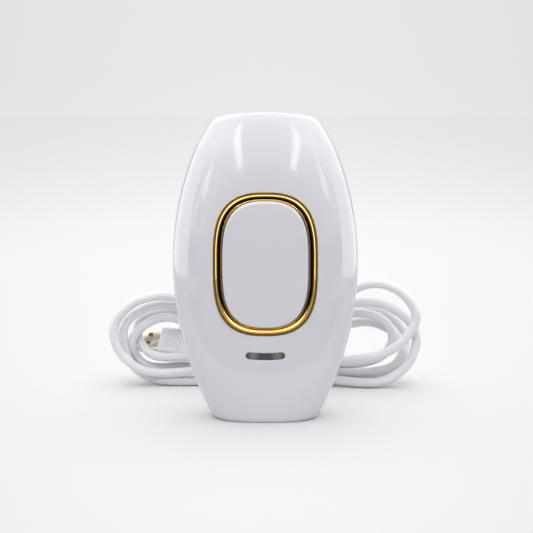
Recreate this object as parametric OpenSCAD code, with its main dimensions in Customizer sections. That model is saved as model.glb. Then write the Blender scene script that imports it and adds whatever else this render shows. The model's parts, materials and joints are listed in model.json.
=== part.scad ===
// Handheld IPL hair remover with its USB power cord.
// Frame: origin at the centre of the base, +Z up along the body, front face towards -Y.

/* [Body] */
// Height of the handset
body_height = 140; // [138:0.5:142]
// Width of the widest section
body_width = 84.8; // [84:0.2:86]
// Depth from the middle plane to the front wall
front_depth = 22.2; // [22:0.1:22.4]
// Depth from the middle plane to the rear wall
rear_depth = 23.2; // [23.2:0.1:23.6]
// Radius of the bowed sides above the widest height, seen from the front
side_radius = 133; // [130:1:140]
// Radius of the bowed sides below the widest height
lower_side_radius = 152; // [145:1:160]
// Radius of the bowed front and rear, seen from the side
profile_radius = 340; // [330:5:360]
// Squareness of the cross-section, 2 is an ellipse
squareness = 2.55; // [2.5:0.05:2.7]
// Thickness of the shell walls
wall = 2; // [1.8:0.1:2.2]
// Radius of the crowned top edge
crown_radius = 116; // [110:1:130]

/* [Button and ring] */
// Half width of the gold ring
ring_half_width = 23.2; // [23:0.1:23.4]
// Half height of the gold ring
ring_half_height = 32; // [31.8:0.1:32.2]
// Height of the ring's centre
ring_height = 73.4; // [73:0.2:74]
// Half width of the button
button_half_width = 19; // [18.8:0.1:19.1]
// Half height of the button
button_half_height = 28.1; // [28:0.1:28.2]
// Height of the dome on the button
button_dome = 1.9; // [1.6:0.1:1.9]

/* [Status window] */
// Height of the status window's centre
lens_height = 31.8; // [31.4:0.2:32.2]
// Length of the status window
lens_length = 17.6; // [17:0.2:18]
// Width of the status window
lens_width = 3.3; // [3:0.1:3.4]

/* [Treatment head] */
// Length of the light window
window_length = 30; // [29:0.5:30]
// Width of the light window
window_width = 10; // [9:0.5:10]

/* [Cord] */
// Diameter of the cord
cord_diameter = 4.7; // [4.4:0.1:4.8]

/* [Hidden] */
$fn = 48;

// Body form
wide_height = 72;
base_round = 2.2;
top_round = 3;
edge_round_depth = 0.35;
crown_start = 125;
section_steps = 24;
cavity_floor = 2.4;
cavity_top = 131;
neck_half_width = 17.6;
neck_half_depth = 11.6;

// Ring and button
ring_power_x = 2.65;
ring_power_z = 3.2;
outline_steps = 72;
ring_seat = 19.4;
ring_band = 1.4;
ring_crest = 1.9;
ring_skirt_end = 17.4;
ring_skirt_half_width = 21.3;
ring_skirt_half_height = 30.1;
fit_gap = 0.2;
button_gap = 0.3;
button_edge = 21.3;
button_wall = 1.6;
flange_front = 17.1;
flange_back = 15.9;
flange_extra = 1.5;
post_radius = 2;
press_gap = 0.1;

// Status window
lens_bow_radius = 58;
lens_tilt = 6.7;
lens_face = 19.65;
lens_thickness = 2;
led_count = 5;
led_pitch = 3;

// Circuit board
board_front = 10.6;
board_thickness = 1.6;
board_half_width = 21;
board_bottom = 24;
board_top = 104;
board_rear = board_front - board_thickness;
switch_height = 3.5;
switch_side = 6;
plunger_radius = 1.7;
plunger_height = 1.2;
board_post_places = [[-17, 39], [17, 39], [-18, 100], [18, 100]];
transformer_place = [-6, -2, 42];
transistor_place = [12, -board_rear, 51];
capacitor_radius = 9;
capacitor_height = 38;

// Screws that hold the shells
boss_places = [[-30, 92], [30, 92], [-25, 29], [25, 29]];
boss_radius = 3.2;
shell_screw_radius = 1.25;
shell_head_radius = 2.3;
shell_head_height = 1.8;
screw_depth_front = 8;

// Lamp
lamp_height = 120;
lamp_radius = 2.5;
lamp_half_length = 20;
lamp_box_half_depth = 7.5;
lamp_box_bottom = 112;
lamp_box_top = 128.3;
reflector_half_length = 17;
holder_thickness = 3;
carrier_wall = 1.5;
glass_bottom = 134;
glass_thickness = 2;
pocket_margin = 1.5;

// Fan
fan_side = 30;
fan_height = 45;
fan_front = 7;
fan_depth = 10;
fan_bore_radius = 14;
fan_hub_radius = 7.5;
fan_hole_pitch = 24;
fan_places = [
    for (side = [-1, 1], level = [-1, 1])
        [side * fan_hole_pitch / 2, fan_height + level * fan_hole_pitch / 2]
];
blade_count = 7;
shaft_radius = 1;
bearing_bore_radius = 1.05;

// Power inlet and plug
inlet_height = 18;
inlet_mouth = 18.4;
jack_front = 4;
barrel_radius = 2.75;
grip_start = 19;
grip_end = 35;

// Cord
lead_route = [[0, 45, 18], [0, 49, 18], [2, 54, 19], [8, 57, 23], [16, 57, 29.5],
              [25, 55, 37], [34, 53, 44]];
tail_route = [[-22, 69.5, 11], [-25.5, 67, 15.3], [-29, 66.3, 17.8], [-33.2, 67.3, 18.6]];
left_wing_near = 54;
left_wing_far = 76;
right_wing_near = 46;
right_wing_far = 75.4;
waist_near = 60.6;
waist_far = 75.4;
waist_bottom = 1.3;
waist_top = 15.7;
tie_thickness = 1;
tie_width = 5;

// USB plug, placed in the left loop of the hank
usb_place = [-55.5, 72, 20];
usb_turn = [45, 3, -12];
usb_shell_length = 12;
usb_shell_width = 12;
usb_shell_height = 4.5;
usb_sheet = 0.3;
usb_grip_length = 17;
usb_grip_width = 15.6;
usb_grip_height = 7.8;

// Half span of the body at height z for a bowed outline of the given half size
function bowed(z, half, radius) =
    half - (radius - sqrt(radius * radius - pow(z - wide_height, 2)));

// Rounded ends: how far the outline draws in close to the base and the top
function end_inset(z) =
    z < base_round ? base_round - sqrt(pow(base_round, 2) - pow(base_round - z, 2)) :
    z > body_height - top_round ?
        top_round - sqrt(max(0, pow(top_round, 2) - pow(z - body_height + top_round, 2))) : 0;

function half_width_at(z) =
    bowed(z, body_width / 2, z < wide_height ? lower_side_radius : side_radius) - end_inset(z);
function half_depth_at(z, depth) =
    bowed(z, depth, profile_radius) - end_inset(z) * edge_round_depth;
function squared(v, power) = sign(v) * pow(abs(v), 2 / power);
function crown_drop(x, z) =
    x * x / (2 * crown_radius) * max(0, (z - crown_start) / (body_height - crown_start));

// Distance of the wall from the middle plane at the place [x, z]
function wall_distance(x, z, depth) =
    half_depth_at(z, depth)
    * pow(1 - pow(abs(x) / half_width_at(z), squareness), 1 / squareness);

// Where a boss ends inside the wall: the wall's distance at the boss's outer edge
function boss_end(place, depth) =
    wall_distance(abs(place.x) + boss_radius, place.y, depth) - 0.5;

// Half of a section, from the right edge over the rear to the left edge, then its middle
function half_section(z, depth, inset, crowned) = [
    for (i = [0:section_steps])
        let (t = 180 * i / section_steps,
             x = (half_width_at(z) - inset) * squared(cos(t), squareness),
             y = (half_depth_at(z, depth) - inset) * squared(sin(t), squareness))
            [x, y, crowned ? z - crown_drop(x, z) : z],
    [0, 0, z]
];

// Solid half of the body towards +Y, lofted through the sections at the given heights
module half_body(heights, depth, inset, crowned) {
    row = section_steps + 2;
    middle = row - 1;
    last = len(heights) - 1;
    top_row = last * row;
    points = [for (z = heights) each half_section(z, depth, inset, crowned)];
    walls = [
        for (k = [0:last - 1], i = [0:row - 1])
            let (j = (i + 1) % row, low = k * row, high = low + row)
                each [[low + i, high + i, high + j], [low + i, high + j, low + j]]
    ];
    base = [for (i = [0:section_steps - 1]) [middle, i, i + 1]];
    top = [for (i = [0:section_steps - 1]) [top_row + middle, top_row + i + 1, top_row + i]];
    polyhedron(points, concat(walls, base, top), convexity = 6);
}

// Outline of the ring and of the button, a squared oval
module oval(half_width, half_height) {
    polygon([
        for (i = [0:outline_steps - 1])
            let (t = 360 * i / outline_steps)
                [half_width * squared(cos(t), ring_power_x),
                 half_height * squared(sin(t), ring_power_z)]
    ]);
}

// Slab between two distances in front of the middle plane, cut to a shape drawn in X and Z
module front_slab(near, far) {
    translate([0, -near, 0]) rotate([90, 0, 0]) linear_extrude(far - near) children();
}

// Cylinder along +Y from the distance near to far
module rod(x, z, near, far, radius) {
    translate([x, near, z]) rotate([-90, 0, 0]) cylinder(r = radius, h = far - near);
}

// Flat slot with round ends, centred, drawn along the first axis
module slot_shape(length, width) {
    square([length - width, width], center = true);
    for (side = [-1, 1]) translate([side * (length - width) / 2, 0]) circle(d = width);
}

// Rounded slot that bows downwards in its middle
module bowed_slot(length, width) {
    half_angle = asin((length - width) / 2 / lens_bow_radius);
    reach = 2 * lens_bow_radius;
    translate([0, lens_bow_radius]) {
        intersection() {
            difference() {
                circle(r = lens_bow_radius + width / 2, $fn = 180);
                circle(r = lens_bow_radius - width / 2, $fn = 180);
            }
            polygon([[0, 0], [-reach * sin(half_angle), -reach * cos(half_angle)],
                     [reach * sin(half_angle), -reach * cos(half_angle)]]);
        }
        for (side = [-1, 1])
            rotate(side * half_angle) translate([0, -lens_bow_radius]) circle(d = width);
    }
}

// Smooth points between the points of a route, steps to a stretch
function route_point(p, i) = p[max(0, min(len(p) - 1, i))];
function smooth_route(p, steps) = concat(
    [for (i = [0:len(p) - 2], s = [0:steps - 1])
        let (u = s / steps, a = route_point(p, i - 1), b = p[i], c = p[i + 1],
             d = route_point(p, i + 2))
            0.5 * (2 * b + (c - a) * u + (2 * a - 5 * b + 4 * c - d) * u * u
                   + (3 * b - a - 3 * c + d) * u * u * u)],
    [p[len(p) - 1]]);
function unit(v) = v / norm(v);

// Round tube swept along a list of points
module tube_along(p, radius, sides, up) {
    last = len(p) - 1;
    points = [
        for (i = [0:last])
            let (along = unit(route_point(p, i + 1) - route_point(p, i - 1)),
                 across = unit(cross(along, up)), over = cross(across, along))
                for (k = [0:sides - 1])
                    let (t = 360 * k / sides) p[i] + radius * (cos(t) * across + sin(t) * over)
    ];
    walls = [
        for (i = [0:last - 1], k = [0:sides - 1])
            let (n = (k + 1) % sides, low = i * sides, high = low + sides)
                each [[low + k, low + n, high + n], [low + k, high + n, high + k]]
    ];
    start = [[for (k = [sides - 1:-1:0]) k]];
    end = [[for (k = [0:sides - 1]) last * sides + k]];
    polyhedron(points, concat(walls, start, end), convexity = 4);
}

outer_heights = concat(
    [0, 0.2, 0.7, 1.4, base_round],
    [for (k = [1:17]) base_round + k * (body_height - top_round - base_round) / 18],
    [body_height - top_round, body_height - 1.9, body_height - 0.9, body_height - 0.25,
     body_height]);
cavity_heights = [for (k = [0:16]) cavity_floor + k * (cavity_top - cavity_floor) / 16];

// Hollow half of the body, open at the neck for the treatment head
module hollow_half(depth) {
    difference() {
        half_body(outer_heights, depth, 0, true);
        half_body(cavity_heights, depth, wall, false);
        translate([0, 0, cavity_top - 1]) linear_extrude(20) neck_shape(0);
    }
}

// Plan of the neck opening, drawn in by a margin
module neck_shape(margin) {
    polygon([
        for (i = [0:outline_steps - 1])
            let (t = 360 * i / outline_steps)
                [(neck_half_width - margin) * squared(cos(t), 3.2),
                 (neck_half_depth - margin) * squared(sin(t), 3.2)]
    ]);
}

// Screw along +Y with its head at the far end and a crossed drive in the head
module screw(x, z, tip, head, radius, head_radius, head_height) {
    difference() {
        union() {
            rod(x, z, tip, head, radius);
            rod(x, z, head, head + head_height, head_radius);
        }
        translate([x, head + head_height, z]) {
            cube([head_radius * 1.2, head_height, head_radius * 0.3], center = true);
            cube([head_radius * 0.3, head_height, head_radius * 1.2], center = true);
        }
    }
}

module front_shell() {
    color("white")
    difference() {
        union() {
            mirror([0, 1, 0]) hollow_half(front_depth);
            for (place = boss_places)
                rod(place.x, place.y, -boss_end(place, front_depth), -0.2, boss_radius);
            for (place = board_post_places)
                rod(place.x, place.y, -wall_distance(place.x, place.y, front_depth) + 1.2,
                    -board_front, 2.2);
        }
        translate([0, 0, ring_height]) {
            front_slab(ring_seat, 30) oval(ring_half_width + fit_gap, ring_half_height + fit_gap);
            front_slab(10, 30)
                oval(ring_skirt_half_width + fit_gap, ring_skirt_half_height + fit_gap);
        }
        along_window_wall() front_slab(10, 30) bowed_slot(lens_length + 0.1, lens_width + 0.1);
        for (place = boss_places)
            rod(place.x, place.y, -screw_depth_front, 0, shell_screw_radius);
        for (place = board_post_places)
            rod(place.x, place.y, -board_front - 4, -board_front + 0.1, 0.9);
    }
}

module rear_shell() {
    color("white")
    difference() {
        union() {
            hollow_half(rear_depth);
            for (place = boss_places)
                rod(place.x, place.y, 0, boss_end(place, rear_depth), boss_radius);
            for (place = fan_places)
                rod(place.x, place.y, fan_front + fan_depth,
                    wall_distance(place.x, place.y, rear_depth) - 1, 2.4);
        }
        for (place = boss_places) {
            far = wall_distance(place.x, place.y, rear_depth);
            rod(place.x, place.y, -1, far, shell_screw_radius + 0.2);
            rod(place.x, place.y, far - 4.5, far + 3, shell_head_radius + 0.3);
        }
        for (place = fan_places)
            rod(place.x, place.y, fan_front + fan_depth - 1, 18.6, 0.8);
        translate([0, 30, fan_height]) rotate([90, 0, 0]) linear_extrude(20) intake_slots();
        translate([0, 30, 113]) rotate([90, 0, 0]) linear_extrude(20) outlet_slots();
        rod(0, inlet_height, 10, 30, 4.6);
        rod(0, inlet_height, inlet_mouth, 30, 5.6);
    }
}

// Air intake: upright slots that fill a circle over the fan
module intake_slots() {
    for (i = [-3:3]) {
        length = 2 * sqrt(pow(fan_bore_radius - 0.6, 2) - pow(3.9 * i, 2));
        translate([3.9 * i, 0]) rotate(90) slot_shape(length, 2);
    }
}

// Warm air outlet: three short level slots
module outlet_slots() {
    for (i = [0:2]) translate([0, 4 * i]) slot_shape(24 - 3 * i, 1.8);
}

module bezel_ring() {
    color("gold")
    translate([0, 0, ring_height])
    difference() {
        union() {
            front_slab(ring_seat, ring_seat + ring_band) oval(ring_half_width, ring_half_height);
            front_slab(ring_seat, ring_seat + ring_crest)
                oval(ring_half_width - 0.9, ring_half_height - 0.9);
            front_slab(ring_skirt_end, ring_seat + 0.2)
                oval(ring_skirt_half_width, ring_skirt_half_height);
        }
        front_slab(ring_skirt_end - 1, 30)
            oval(button_half_width + button_gap, button_half_height + button_gap);
    }
}

// Solid lofted through ovals of the given half sizes at the given places in front
module oval_loft(layers, tip) {
    count = len(layers);
    points = concat(
        [for (layer = layers, i = [0:outline_steps - 1])
            let (t = 360 * i / outline_steps)
                [layer[0] * squared(cos(t), ring_power_x), -layer[2],
                 layer[1] * squared(sin(t), ring_power_z)]],
        [[0, -tip, 0]]);
    tip_point = outline_steps * count;
    walls = [
        for (k = [0:count - 2], i = [0:outline_steps - 1])
            let (n = (i + 1) % outline_steps, low = k * outline_steps, high = low + outline_steps)
                each [[low + i, low + n, high + n], [low + i, high + n, high + i]]
    ];
    crown = [
        for (i = [0:outline_steps - 1])
            [(count - 1) * outline_steps + i, (count - 1) * outline_steps + (i + 1) % outline_steps,
             tip_point]
    ];
    back_face = [[for (i = [outline_steps - 1:-1:0]) i]];
    polyhedron(points, concat(walls, crown, back_face), convexity = 4);
}
function dome_rise(share) = 0.3 * sqrt(1 - pow(share, 8)) + 0.7 * (1 - share * share);

// Button: a domed cap with a flange behind the ring and a post that meets the switch
module button_cap() {
    w = button_half_width;
    h = button_half_height;
    layers = concat(
        [[w + flange_extra, h + flange_extra, flange_back],
         [w + flange_extra, h + flange_extra, flange_front], [w, h, flange_front]],
        [for (share = [1, 0.98, 0.93, 0.84, 0.7, 0.5, 0.25])
            [w * share, h * share, button_edge + button_dome * dome_rise(share)]]);
    color("whitesmoke")
    translate([0, 0, ring_height])
    difference() {
        oval_loft(layers, button_edge + button_dome);
        difference() {
            front_slab(10, button_edge - button_wall) oval(w - button_wall, h - button_wall);
            rod(0, 72 - ring_height, -30,
                -board_front - switch_height - plunger_height - press_gap, post_radius);
        }
    }
}

// Leans a shape back about the status window's face, so that it lies along the bowed wall
module along_window_wall() {
    translate([0, -lens_face, lens_height]) rotate([lens_tilt, 0, 0]) translate([0, lens_face, 0])
        children();
}

module status_lens() {
    color("dimgray")
    along_window_wall()
        front_slab(lens_face - lens_thickness, lens_face) bowed_slot(lens_length, lens_width);
}

module light_guide() {
    color("lightcyan")
    translate([0, 0, lens_height])
        front_slab(board_front + 1, lens_face - lens_thickness - 0.4)
            bowed_slot(lens_length - 1.6, lens_width - 0.6);
}

module status_leds() {
    color("gold")
    for (i = [0:led_count - 1])
        translate([(i - (led_count - 1) / 2) * led_pitch - 0.8, -board_front - 0.7,
                   lens_height - 0.5])
            cube([1.6, 0.7, 0.8]);
}

// Block between two heights, centred on the origin in plan
module frame_block(length, width, bottom, top) {
    translate([-length / 2, -width / 2, bottom]) cube([length, width, top - bottom]);
}

module head_frame() {
    color("gainsboro")
    difference() {
        intersection() {
            union() {
                translate([0, 0, cavity_top - 1]) linear_extrude(12) neck_shape(fit_gap);
                translate([0, 0, lamp_box_top + 0.2]) linear_extrude(cavity_top - lamp_box_top - 0.4)
                    neck_shape(-1.6);
            }
            translate([0, 30, body_height - crown_radius]) rotate([90, 0, 0])
                cylinder(r = crown_radius - 0.4, h = 60, $fn = 180);
        }
        frame_block(window_length, window_width, 100, body_height + 5);
        frame_block(window_length + 2 * pocket_margin, window_width + 2 * pocket_margin, 100,
                    glass_bottom + glass_thickness);
        for (side = [-1, 1]) translate([side * (window_length / 2 + 1.2) - 0.6, -3.1, 137])
            cube([1.2, 6.2, 5]);
    }
}

module filter_window() {
    color("lightyellow")
    frame_block(window_length + 2 * pocket_margin - 0.2, window_width + 2 * pocket_margin - 0.2,
                glass_bottom, glass_bottom + glass_thickness);
}

module window_gasket() {
    color("darkgray")
    difference() {
        frame_block(window_length + 2 * pocket_margin - 0.2,
                    window_width + 2 * pocket_margin - 0.2, glass_bottom - 1.2, glass_bottom);
        frame_block(window_length, window_width, 100, body_height);
    }
}

module light_duct() {
    color("silver")
    difference() {
        frame_block(window_length + 2 * pocket_margin - 0.2,
                    window_width + 2 * pocket_margin - 0.2, lamp_box_top, glass_bottom - 1.2);
        frame_block(window_length, window_width, 100, body_height);
    }
}

module skin_contacts() {
    color("silver")
    for (side = [-1, 1])
        translate([side * (window_length / 2 + 1.2) - 0.5, -3, 137])
            cube([1, 6, 1.9]);
}

module lamp_rod(from, to, radius) {
    translate([from, 0, lamp_height]) rotate([0, 90, 0]) cylinder(r = radius, h = to - from);
}

module flash_lamp() {
    color("aliceblue") lamp_rod(-lamp_half_length, lamp_half_length, lamp_radius);
}

module lamp_electrodes() {
    color("silver")
    for (side = [-1, 1]) mirror([side < 0 ? 1 : 0, 0, 0]) {
        difference() {
            lamp_rod(lamp_half_length - 2.5, lamp_half_length + 3.5, lamp_radius + 0.6);
            lamp_rod(lamp_half_length - 3, lamp_half_length, lamp_radius);
        }
        lamp_rod(lamp_half_length + 3.5, lamp_half_length + 6.5, 0.8);
    }
}

module reflector() {
    color("silver")
    difference() {
        frame_block(2 * reflector_half_length, 2 * lamp_box_half_depth, lamp_box_bottom,
                    lamp_box_top);
        lamp_rod(-30, 30, 5.5);
        frame_block(60, 11, lamp_height, lamp_box_top + 1);
    }
}

module lamp_holders() {
    color("antiquewhite")
    for (side = [-1, 1])
        difference() {
            translate([side * (reflector_half_length + holder_thickness / 2), 0, 0])
                frame_block(holder_thickness - 0.1, 2 * lamp_box_half_depth, lamp_box_bottom,
                            lamp_box_top);
            lamp_rod(-30, 30, lamp_radius + 0.7);
        }
}

module lamp_carrier() {
    inner_length = 2 * (reflector_half_length + holder_thickness) + 0.4;
    inner_width = 2 * lamp_box_half_depth + 0.2;
    color("dimgray")
    difference() {
        frame_block(inner_length + 2 * carrier_wall, inner_width + 2 * carrier_wall,
                    lamp_box_bottom, lamp_box_top - 0.2);
        frame_block(inner_length, inner_width, lamp_box_bottom - 1, lamp_box_top + 1);
        lamp_rod(-40, 40, lamp_radius + 1);
    }
}

module lamp_heatsink() {
    fin_count = 9;
    fin_thickness = 1.2;
    color("lightgray") {
        frame_block(2 * reflector_half_length, 2 * lamp_box_half_depth, lamp_box_bottom - 2,
                    lamp_box_bottom);
        for (i = [0:fin_count - 1])
            translate([-reflector_half_length
                       + i * (2 * reflector_half_length - fin_thickness) / (fin_count - 1),
                       -lamp_box_half_depth, lamp_box_bottom - 6])
                cube([fin_thickness, 2 * lamp_box_half_depth, 4.2]);
    }
}

module temperature_sensor() {
    color("darkgreen")
    translate([8, lamp_box_half_depth + 0.1 + carrier_wall, 118]) rotate([-90, 0, 0])
        cylinder(r = 1.8, h = 1.6);
}

module main_board() {
    color("darkgreen")
    difference() {
        translate([-board_half_width, -board_front, board_bottom])
            cube([2 * board_half_width, board_thickness, board_top - board_bottom]);
        for (place = board_post_places) rod(place.x, place.y, -20, 0, 1.1);
    }
}

module switch_body() {
    color("dimgray")
    difference() {
        translate([-switch_side / 2, -board_front - switch_height, 72 - switch_side / 2])
            cube([switch_side, switch_height, switch_side]);
        rod(0, 72, -board_front - switch_height - 1, -board_front - 1, plunger_radius + 0.05);
    }
}

module switch_plunger() {
    color("tomato")
    rod(0, 72, -board_front - switch_height - plunger_height, -board_front - 2, plunger_radius);
}

module control_chip() {
    color("darkslategray")
    translate([-17, -board_front - 1, 84]) cube([7, 1, 7]);
}

module storage_capacitors() {
    color("midnightblue")
    for (side = [-1, 1]) translate([side * (capacitor_radius + 0.4), 1.6, 62]) {
        cylinder(r = capacitor_radius, h = capacitor_height);
        translate([0, 0, capacitor_height]) cylinder(r = capacitor_radius - 0.6, h = 1);
    }
}

module transformer_core() {
    color("dimgray")
    translate(transformer_place)
    difference() {
        cube([18, 7, 16], center = true);
        for (side = [-1, 1]) translate([side * 5, 0, 0]) cube([4, 8, 10], center = true);
    }
}

module transformer_winding() {
    color("goldenrod")
    translate(transformer_place)
    difference() {
        cube([13.6, 13.8, 9.6], center = true);
        cube([6.2, 7.2, 12], center = true);
    }
}

module trigger_coil() {
    color("saddlebrown")
    translate([-16.8, -5.1, 51]) cylinder(r = 3.8, h = 9);
}

module power_transistor() {
    color("darkslategray")
    translate(transistor_place + [-5, 0, -8]) cube([10, 4.4, 15]);
}

module transistor_heatsink() {
    color("lightgray")
    translate(transistor_place + [-6, 4.4, -9]) {
        cube([12, 1.5, 18]);
        for (i = [0:3]) translate([i * 3.6, 1.4, 0]) cube([1.2, 4.5, 18]);
    }
}

module fan_housing() {
    color("dimgray")
    difference() {
        union() {
            difference() {
                translate([-fan_side / 2, fan_front, fan_height - fan_side / 2])
                    cube([fan_side, fan_depth, fan_side]);
                rod(0, fan_height, fan_front - 1, fan_front + fan_depth + 1, fan_bore_radius);
            }
            rod(0, fan_height, fan_front + fan_depth - 1.5, fan_front + fan_depth,
                fan_hub_radius - 1);
            for (i = [0:2]) translate([0, fan_front + fan_depth - 1.5, fan_height])
                rotate([0, 120 * i + 30, 0]) cube([fan_bore_radius + 0.5, 1.5, 1.6]);
            rod(0, fan_height, fan_front + 3, fan_front + fan_depth - 1, 2.2);
        }
        rod(0, fan_height, fan_front, fan_front + fan_depth - 0.6, bearing_bore_radius);
        for (place = fan_places) rod(place.x, place.y, 0, 30, 1);
    }
}

module fan_stator() {
    color("peru")
    difference() {
        rod(0, fan_height, fan_front + 3.5, fan_front + 7.8, 5.4);
        rod(0, fan_height, fan_front, fan_front + fan_depth, 2.2);
    }
}

module fan_rotor() {
    color("black") {
        difference() {
            rod(0, fan_height, fan_front + 0.8, fan_front + 7.9, fan_hub_radius - 0.5);
            rod(0, fan_height, fan_front + 2, fan_front + 9, fan_hub_radius - 1.6);
        }
        rod(0, fan_height, fan_front + 1.8, fan_front + 9, shaft_radius);
        intersection() {
            for (i = [0:blade_count - 1])
                translate([0, fan_front + 4.4, fan_height]) rotate([0, 360 / blade_count * i, 0])
                    translate([fan_hub_radius - 1.1, 0, 0]) rotate([38, 0, 0])
                        translate([0, -0.5, -4]) cube([8, 1, 8]);
            rod(0, fan_height, fan_front + 1, fan_front + 7.8, fan_bore_radius - 0.7);
        }
    }
}

module fan_screws() {
    color("silver")
    for (place = fan_places) {
        rod(place.x, place.y, fan_front - 0.2, 18.4, 0.75);
        rod(place.x, place.y, fan_front - 1.2, fan_front, 1.7);
    }
}

module board_screws() {
    color("silver")
    for (place = board_post_places)
        screw(place.x, place.y, -board_front - 3.5, -board_rear, 0.85, 1.7, 1.2);
}

module shell_screws() {
    color("silver")
    for (place = boss_places)
        screw(place.x, place.y, -screw_depth_front + 1,
              wall_distance(place.x, place.y, rear_depth) - 4.5, shell_screw_radius - 0.05,
              shell_head_radius, shell_head_height);
}

module power_jack() {
    color("dimgray")
    difference() {
        union() {
            translate([-4.8, jack_front, inlet_height - 5.5]) cube([9.6, 11.6, 11]);
            rod(0, inlet_height, 14, inlet_mouth, 4.4);
        }
        rod(0, inlet_height, 8, 20, barrel_radius + 0.15);
    }
    color("silver") rod(0, inlet_height, 7.5, 17.5, 0.95);
}

module lamp_wires() {
    color("firebrick")
    for (side = [-1, 1])
        tube_along(smooth_route([
            [side * 26, 0, 120], [side * 28, 0, 117], [side * 27.5, -1, 110],
            [side * 25.5, -4, 103], [side * 20, -7, 97], [side * 18.6, -8.3, 93]], 3),
            0.8, 8, [0, 1, 0]);
}

module jack_wires() {
    color("crimson")
    for (side = [-1, 1])
        tube_along(smooth_route([
            [side * 3, 3.8, 17], [side * 3.4, 1, 17], [side * 4, -3, 19],
            [side * 4.5, -6, 23], [side * 4.8, -8.2, 28]], 3),
            0.7, 8, [1, 0, 0]);
}

module fan_wires() {
    color("black")
    for (side = [0, 1])
        tube_along(smooth_route([
            [15.4, 9 + side * 2, 56], [17.5, 8 + side * 2, 58], [20, 4 + side * 2, 59],
            [20.5, -1 + side * 2, 59 + side], [19.5, -6 + side, 59 + 2 * side],
            [19, -8.3, 59 + 2 * side]], 3),
            0.6, 8, [0, 0, 1]);
}

module plug_barrel() {
    color("silver")
    difference() {
        rod(0, inlet_height, 8.6, grip_start, barrel_radius);
        rod(0, inlet_height, 5, grip_start - 0.6, 1.1);
    }
}

module plug_grip() {
    color("white")
    difference() {
        union() {
            rod(0, inlet_height, grip_start, grip_end - 1, 5);
            rod(0, inlet_height, grip_end - 1, grip_end, 4.4);
        }
        for (i = [0:4]) translate([0, 24 + 2 * i, inlet_height]) rotate([-90, 0, 0])
            difference() {
                cylinder(r = 6, h = 0.9);
                cylinder(r = 4.6, h = 0.9);
            }
    }
}

module plug_strain_relief() {
    color("white")
    for (i = [0:4])
        rod(0, inlet_height, grip_end + 2 * i, grip_end + 2 * i + 2, 3.8 - 0.28 * i);
}

module cord_lead() {
    color("white")
    tube_along(smooth_route(lead_route, 3), cord_diameter / 2, 8, [0, 0, 1]);
}

module cord_tail() {
    color("white")
    tube_along(smooth_route(tail_route, 2), cord_diameter / 2, 8, [0, 0, 1]);
}

// Side view of one loop of the wound cord: round corners, each as [x, z, radius], and a window
module loop_outline(corners, window) {
    difference() {
        hull() for (c = corners) translate([c[0], c[1]]) circle(r = c[2]);
        hull() for (c = window) translate([c[0], c[1]]) circle(r = c[2]);
    }
}

// Wound cord: two open loops joined by the tied waist
module cord_hank() {
    color("white") {
        translate([0, left_wing_far, 0]) rotate([90, 0, 0])
            linear_extrude(left_wing_far - left_wing_near)
                loop_outline([[-56, 25.3, 23.6], [-63, 17.4, 17.1], [-24, 14, 13]],
                             [[-62, 23, 12], [-40, 21, 12]]);
        translate([0, right_wing_far, 0]) rotate([90, 0, 0])
            linear_extrude(right_wing_far - right_wing_near)
                loop_outline([[52, 29.5, 27.4], [60.5, 19.2, 19], [28, 12, 10]],
                             [[54, 27, 12], [46, 24, 9]]);
        translate([-24, waist_near, waist_bottom])
            cube([48, waist_far - waist_near, waist_top - waist_bottom]);
    }
}

module cable_tie() {
    color("whitesmoke")
    difference() {
        translate([-tie_width / 2, waist_near - tie_thickness, waist_bottom - tie_thickness])
            cube([tie_width, waist_far - waist_near + 2 * tie_thickness,
                  waist_top - waist_bottom + 2 * tie_thickness]);
        translate([-tie_width, waist_near, waist_bottom])
            cube([2 * tie_width, waist_far - waist_near, waist_top - waist_bottom]);
    }
}

// Frame of the USB plug: the metal shell lies on its -X side, the grip on its +X side
module at_usb() {
    translate(usb_place) rotate(usb_turn) children();
}

module usb_shell() {
    inner_width = usb_shell_width - 2 * usb_sheet;
    inner_height = usb_shell_height - 2 * usb_sheet;
    color("tan")
    at_usb()
    difference() {
        translate([-usb_shell_length, -usb_shell_width / 2, -usb_shell_height / 2])
            cube([usb_shell_length + 2, usb_shell_width, usb_shell_height]);
        translate([-usb_shell_length - 1, -inner_width / 2, -inner_height / 2])
            cube([usb_shell_length + 2, inner_width, inner_height]);
        for (side = [-1, 1]) translate([-6.4, side * 2.6 - 1.1, 0]) cube([2.2, 2.2, 5]);
    }
}

// Insulating tongue that fills the lower half of the metal shell
module usb_contacts() {
    tongue_width = usb_shell_width - 2 * usb_sheet - 0.2;
    color("ivory")
    at_usb()
        translate([-usb_shell_length + 0.6, -tongue_width / 2, usb_sheet + 0.05 - usb_shell_height / 2])
            cube([usb_shell_length, tongue_width, usb_shell_height / 2 - usb_sheet - 0.05]);
}

module usb_grip() {
    color("white")
    at_usb()
    difference() {
        translate([0, -usb_grip_width / 2, -usb_grip_height / 2])
            cube([usb_grip_length, usb_grip_width, usb_grip_height]);
        translate([-1, -usb_shell_width / 2, -usb_shell_height / 2])
            cube([3, usb_shell_width, usb_shell_height]);
        for (i = [0:3], side = [-1, 1])
            translate([5 + 2.5 * i, side * usb_grip_width / 2 - 0.4, -3]) cube([1, 0.8, 6]);
    }
}

module usb_strain_relief() {
    color("white")
    at_usb()
    for (i = [0:2])
        translate([usb_grip_length + 2 * i, 0, 0]) rotate([0, 90, 0])
            cylinder(r = 3.6 - 0.4 * i, h = 2);
}

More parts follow.
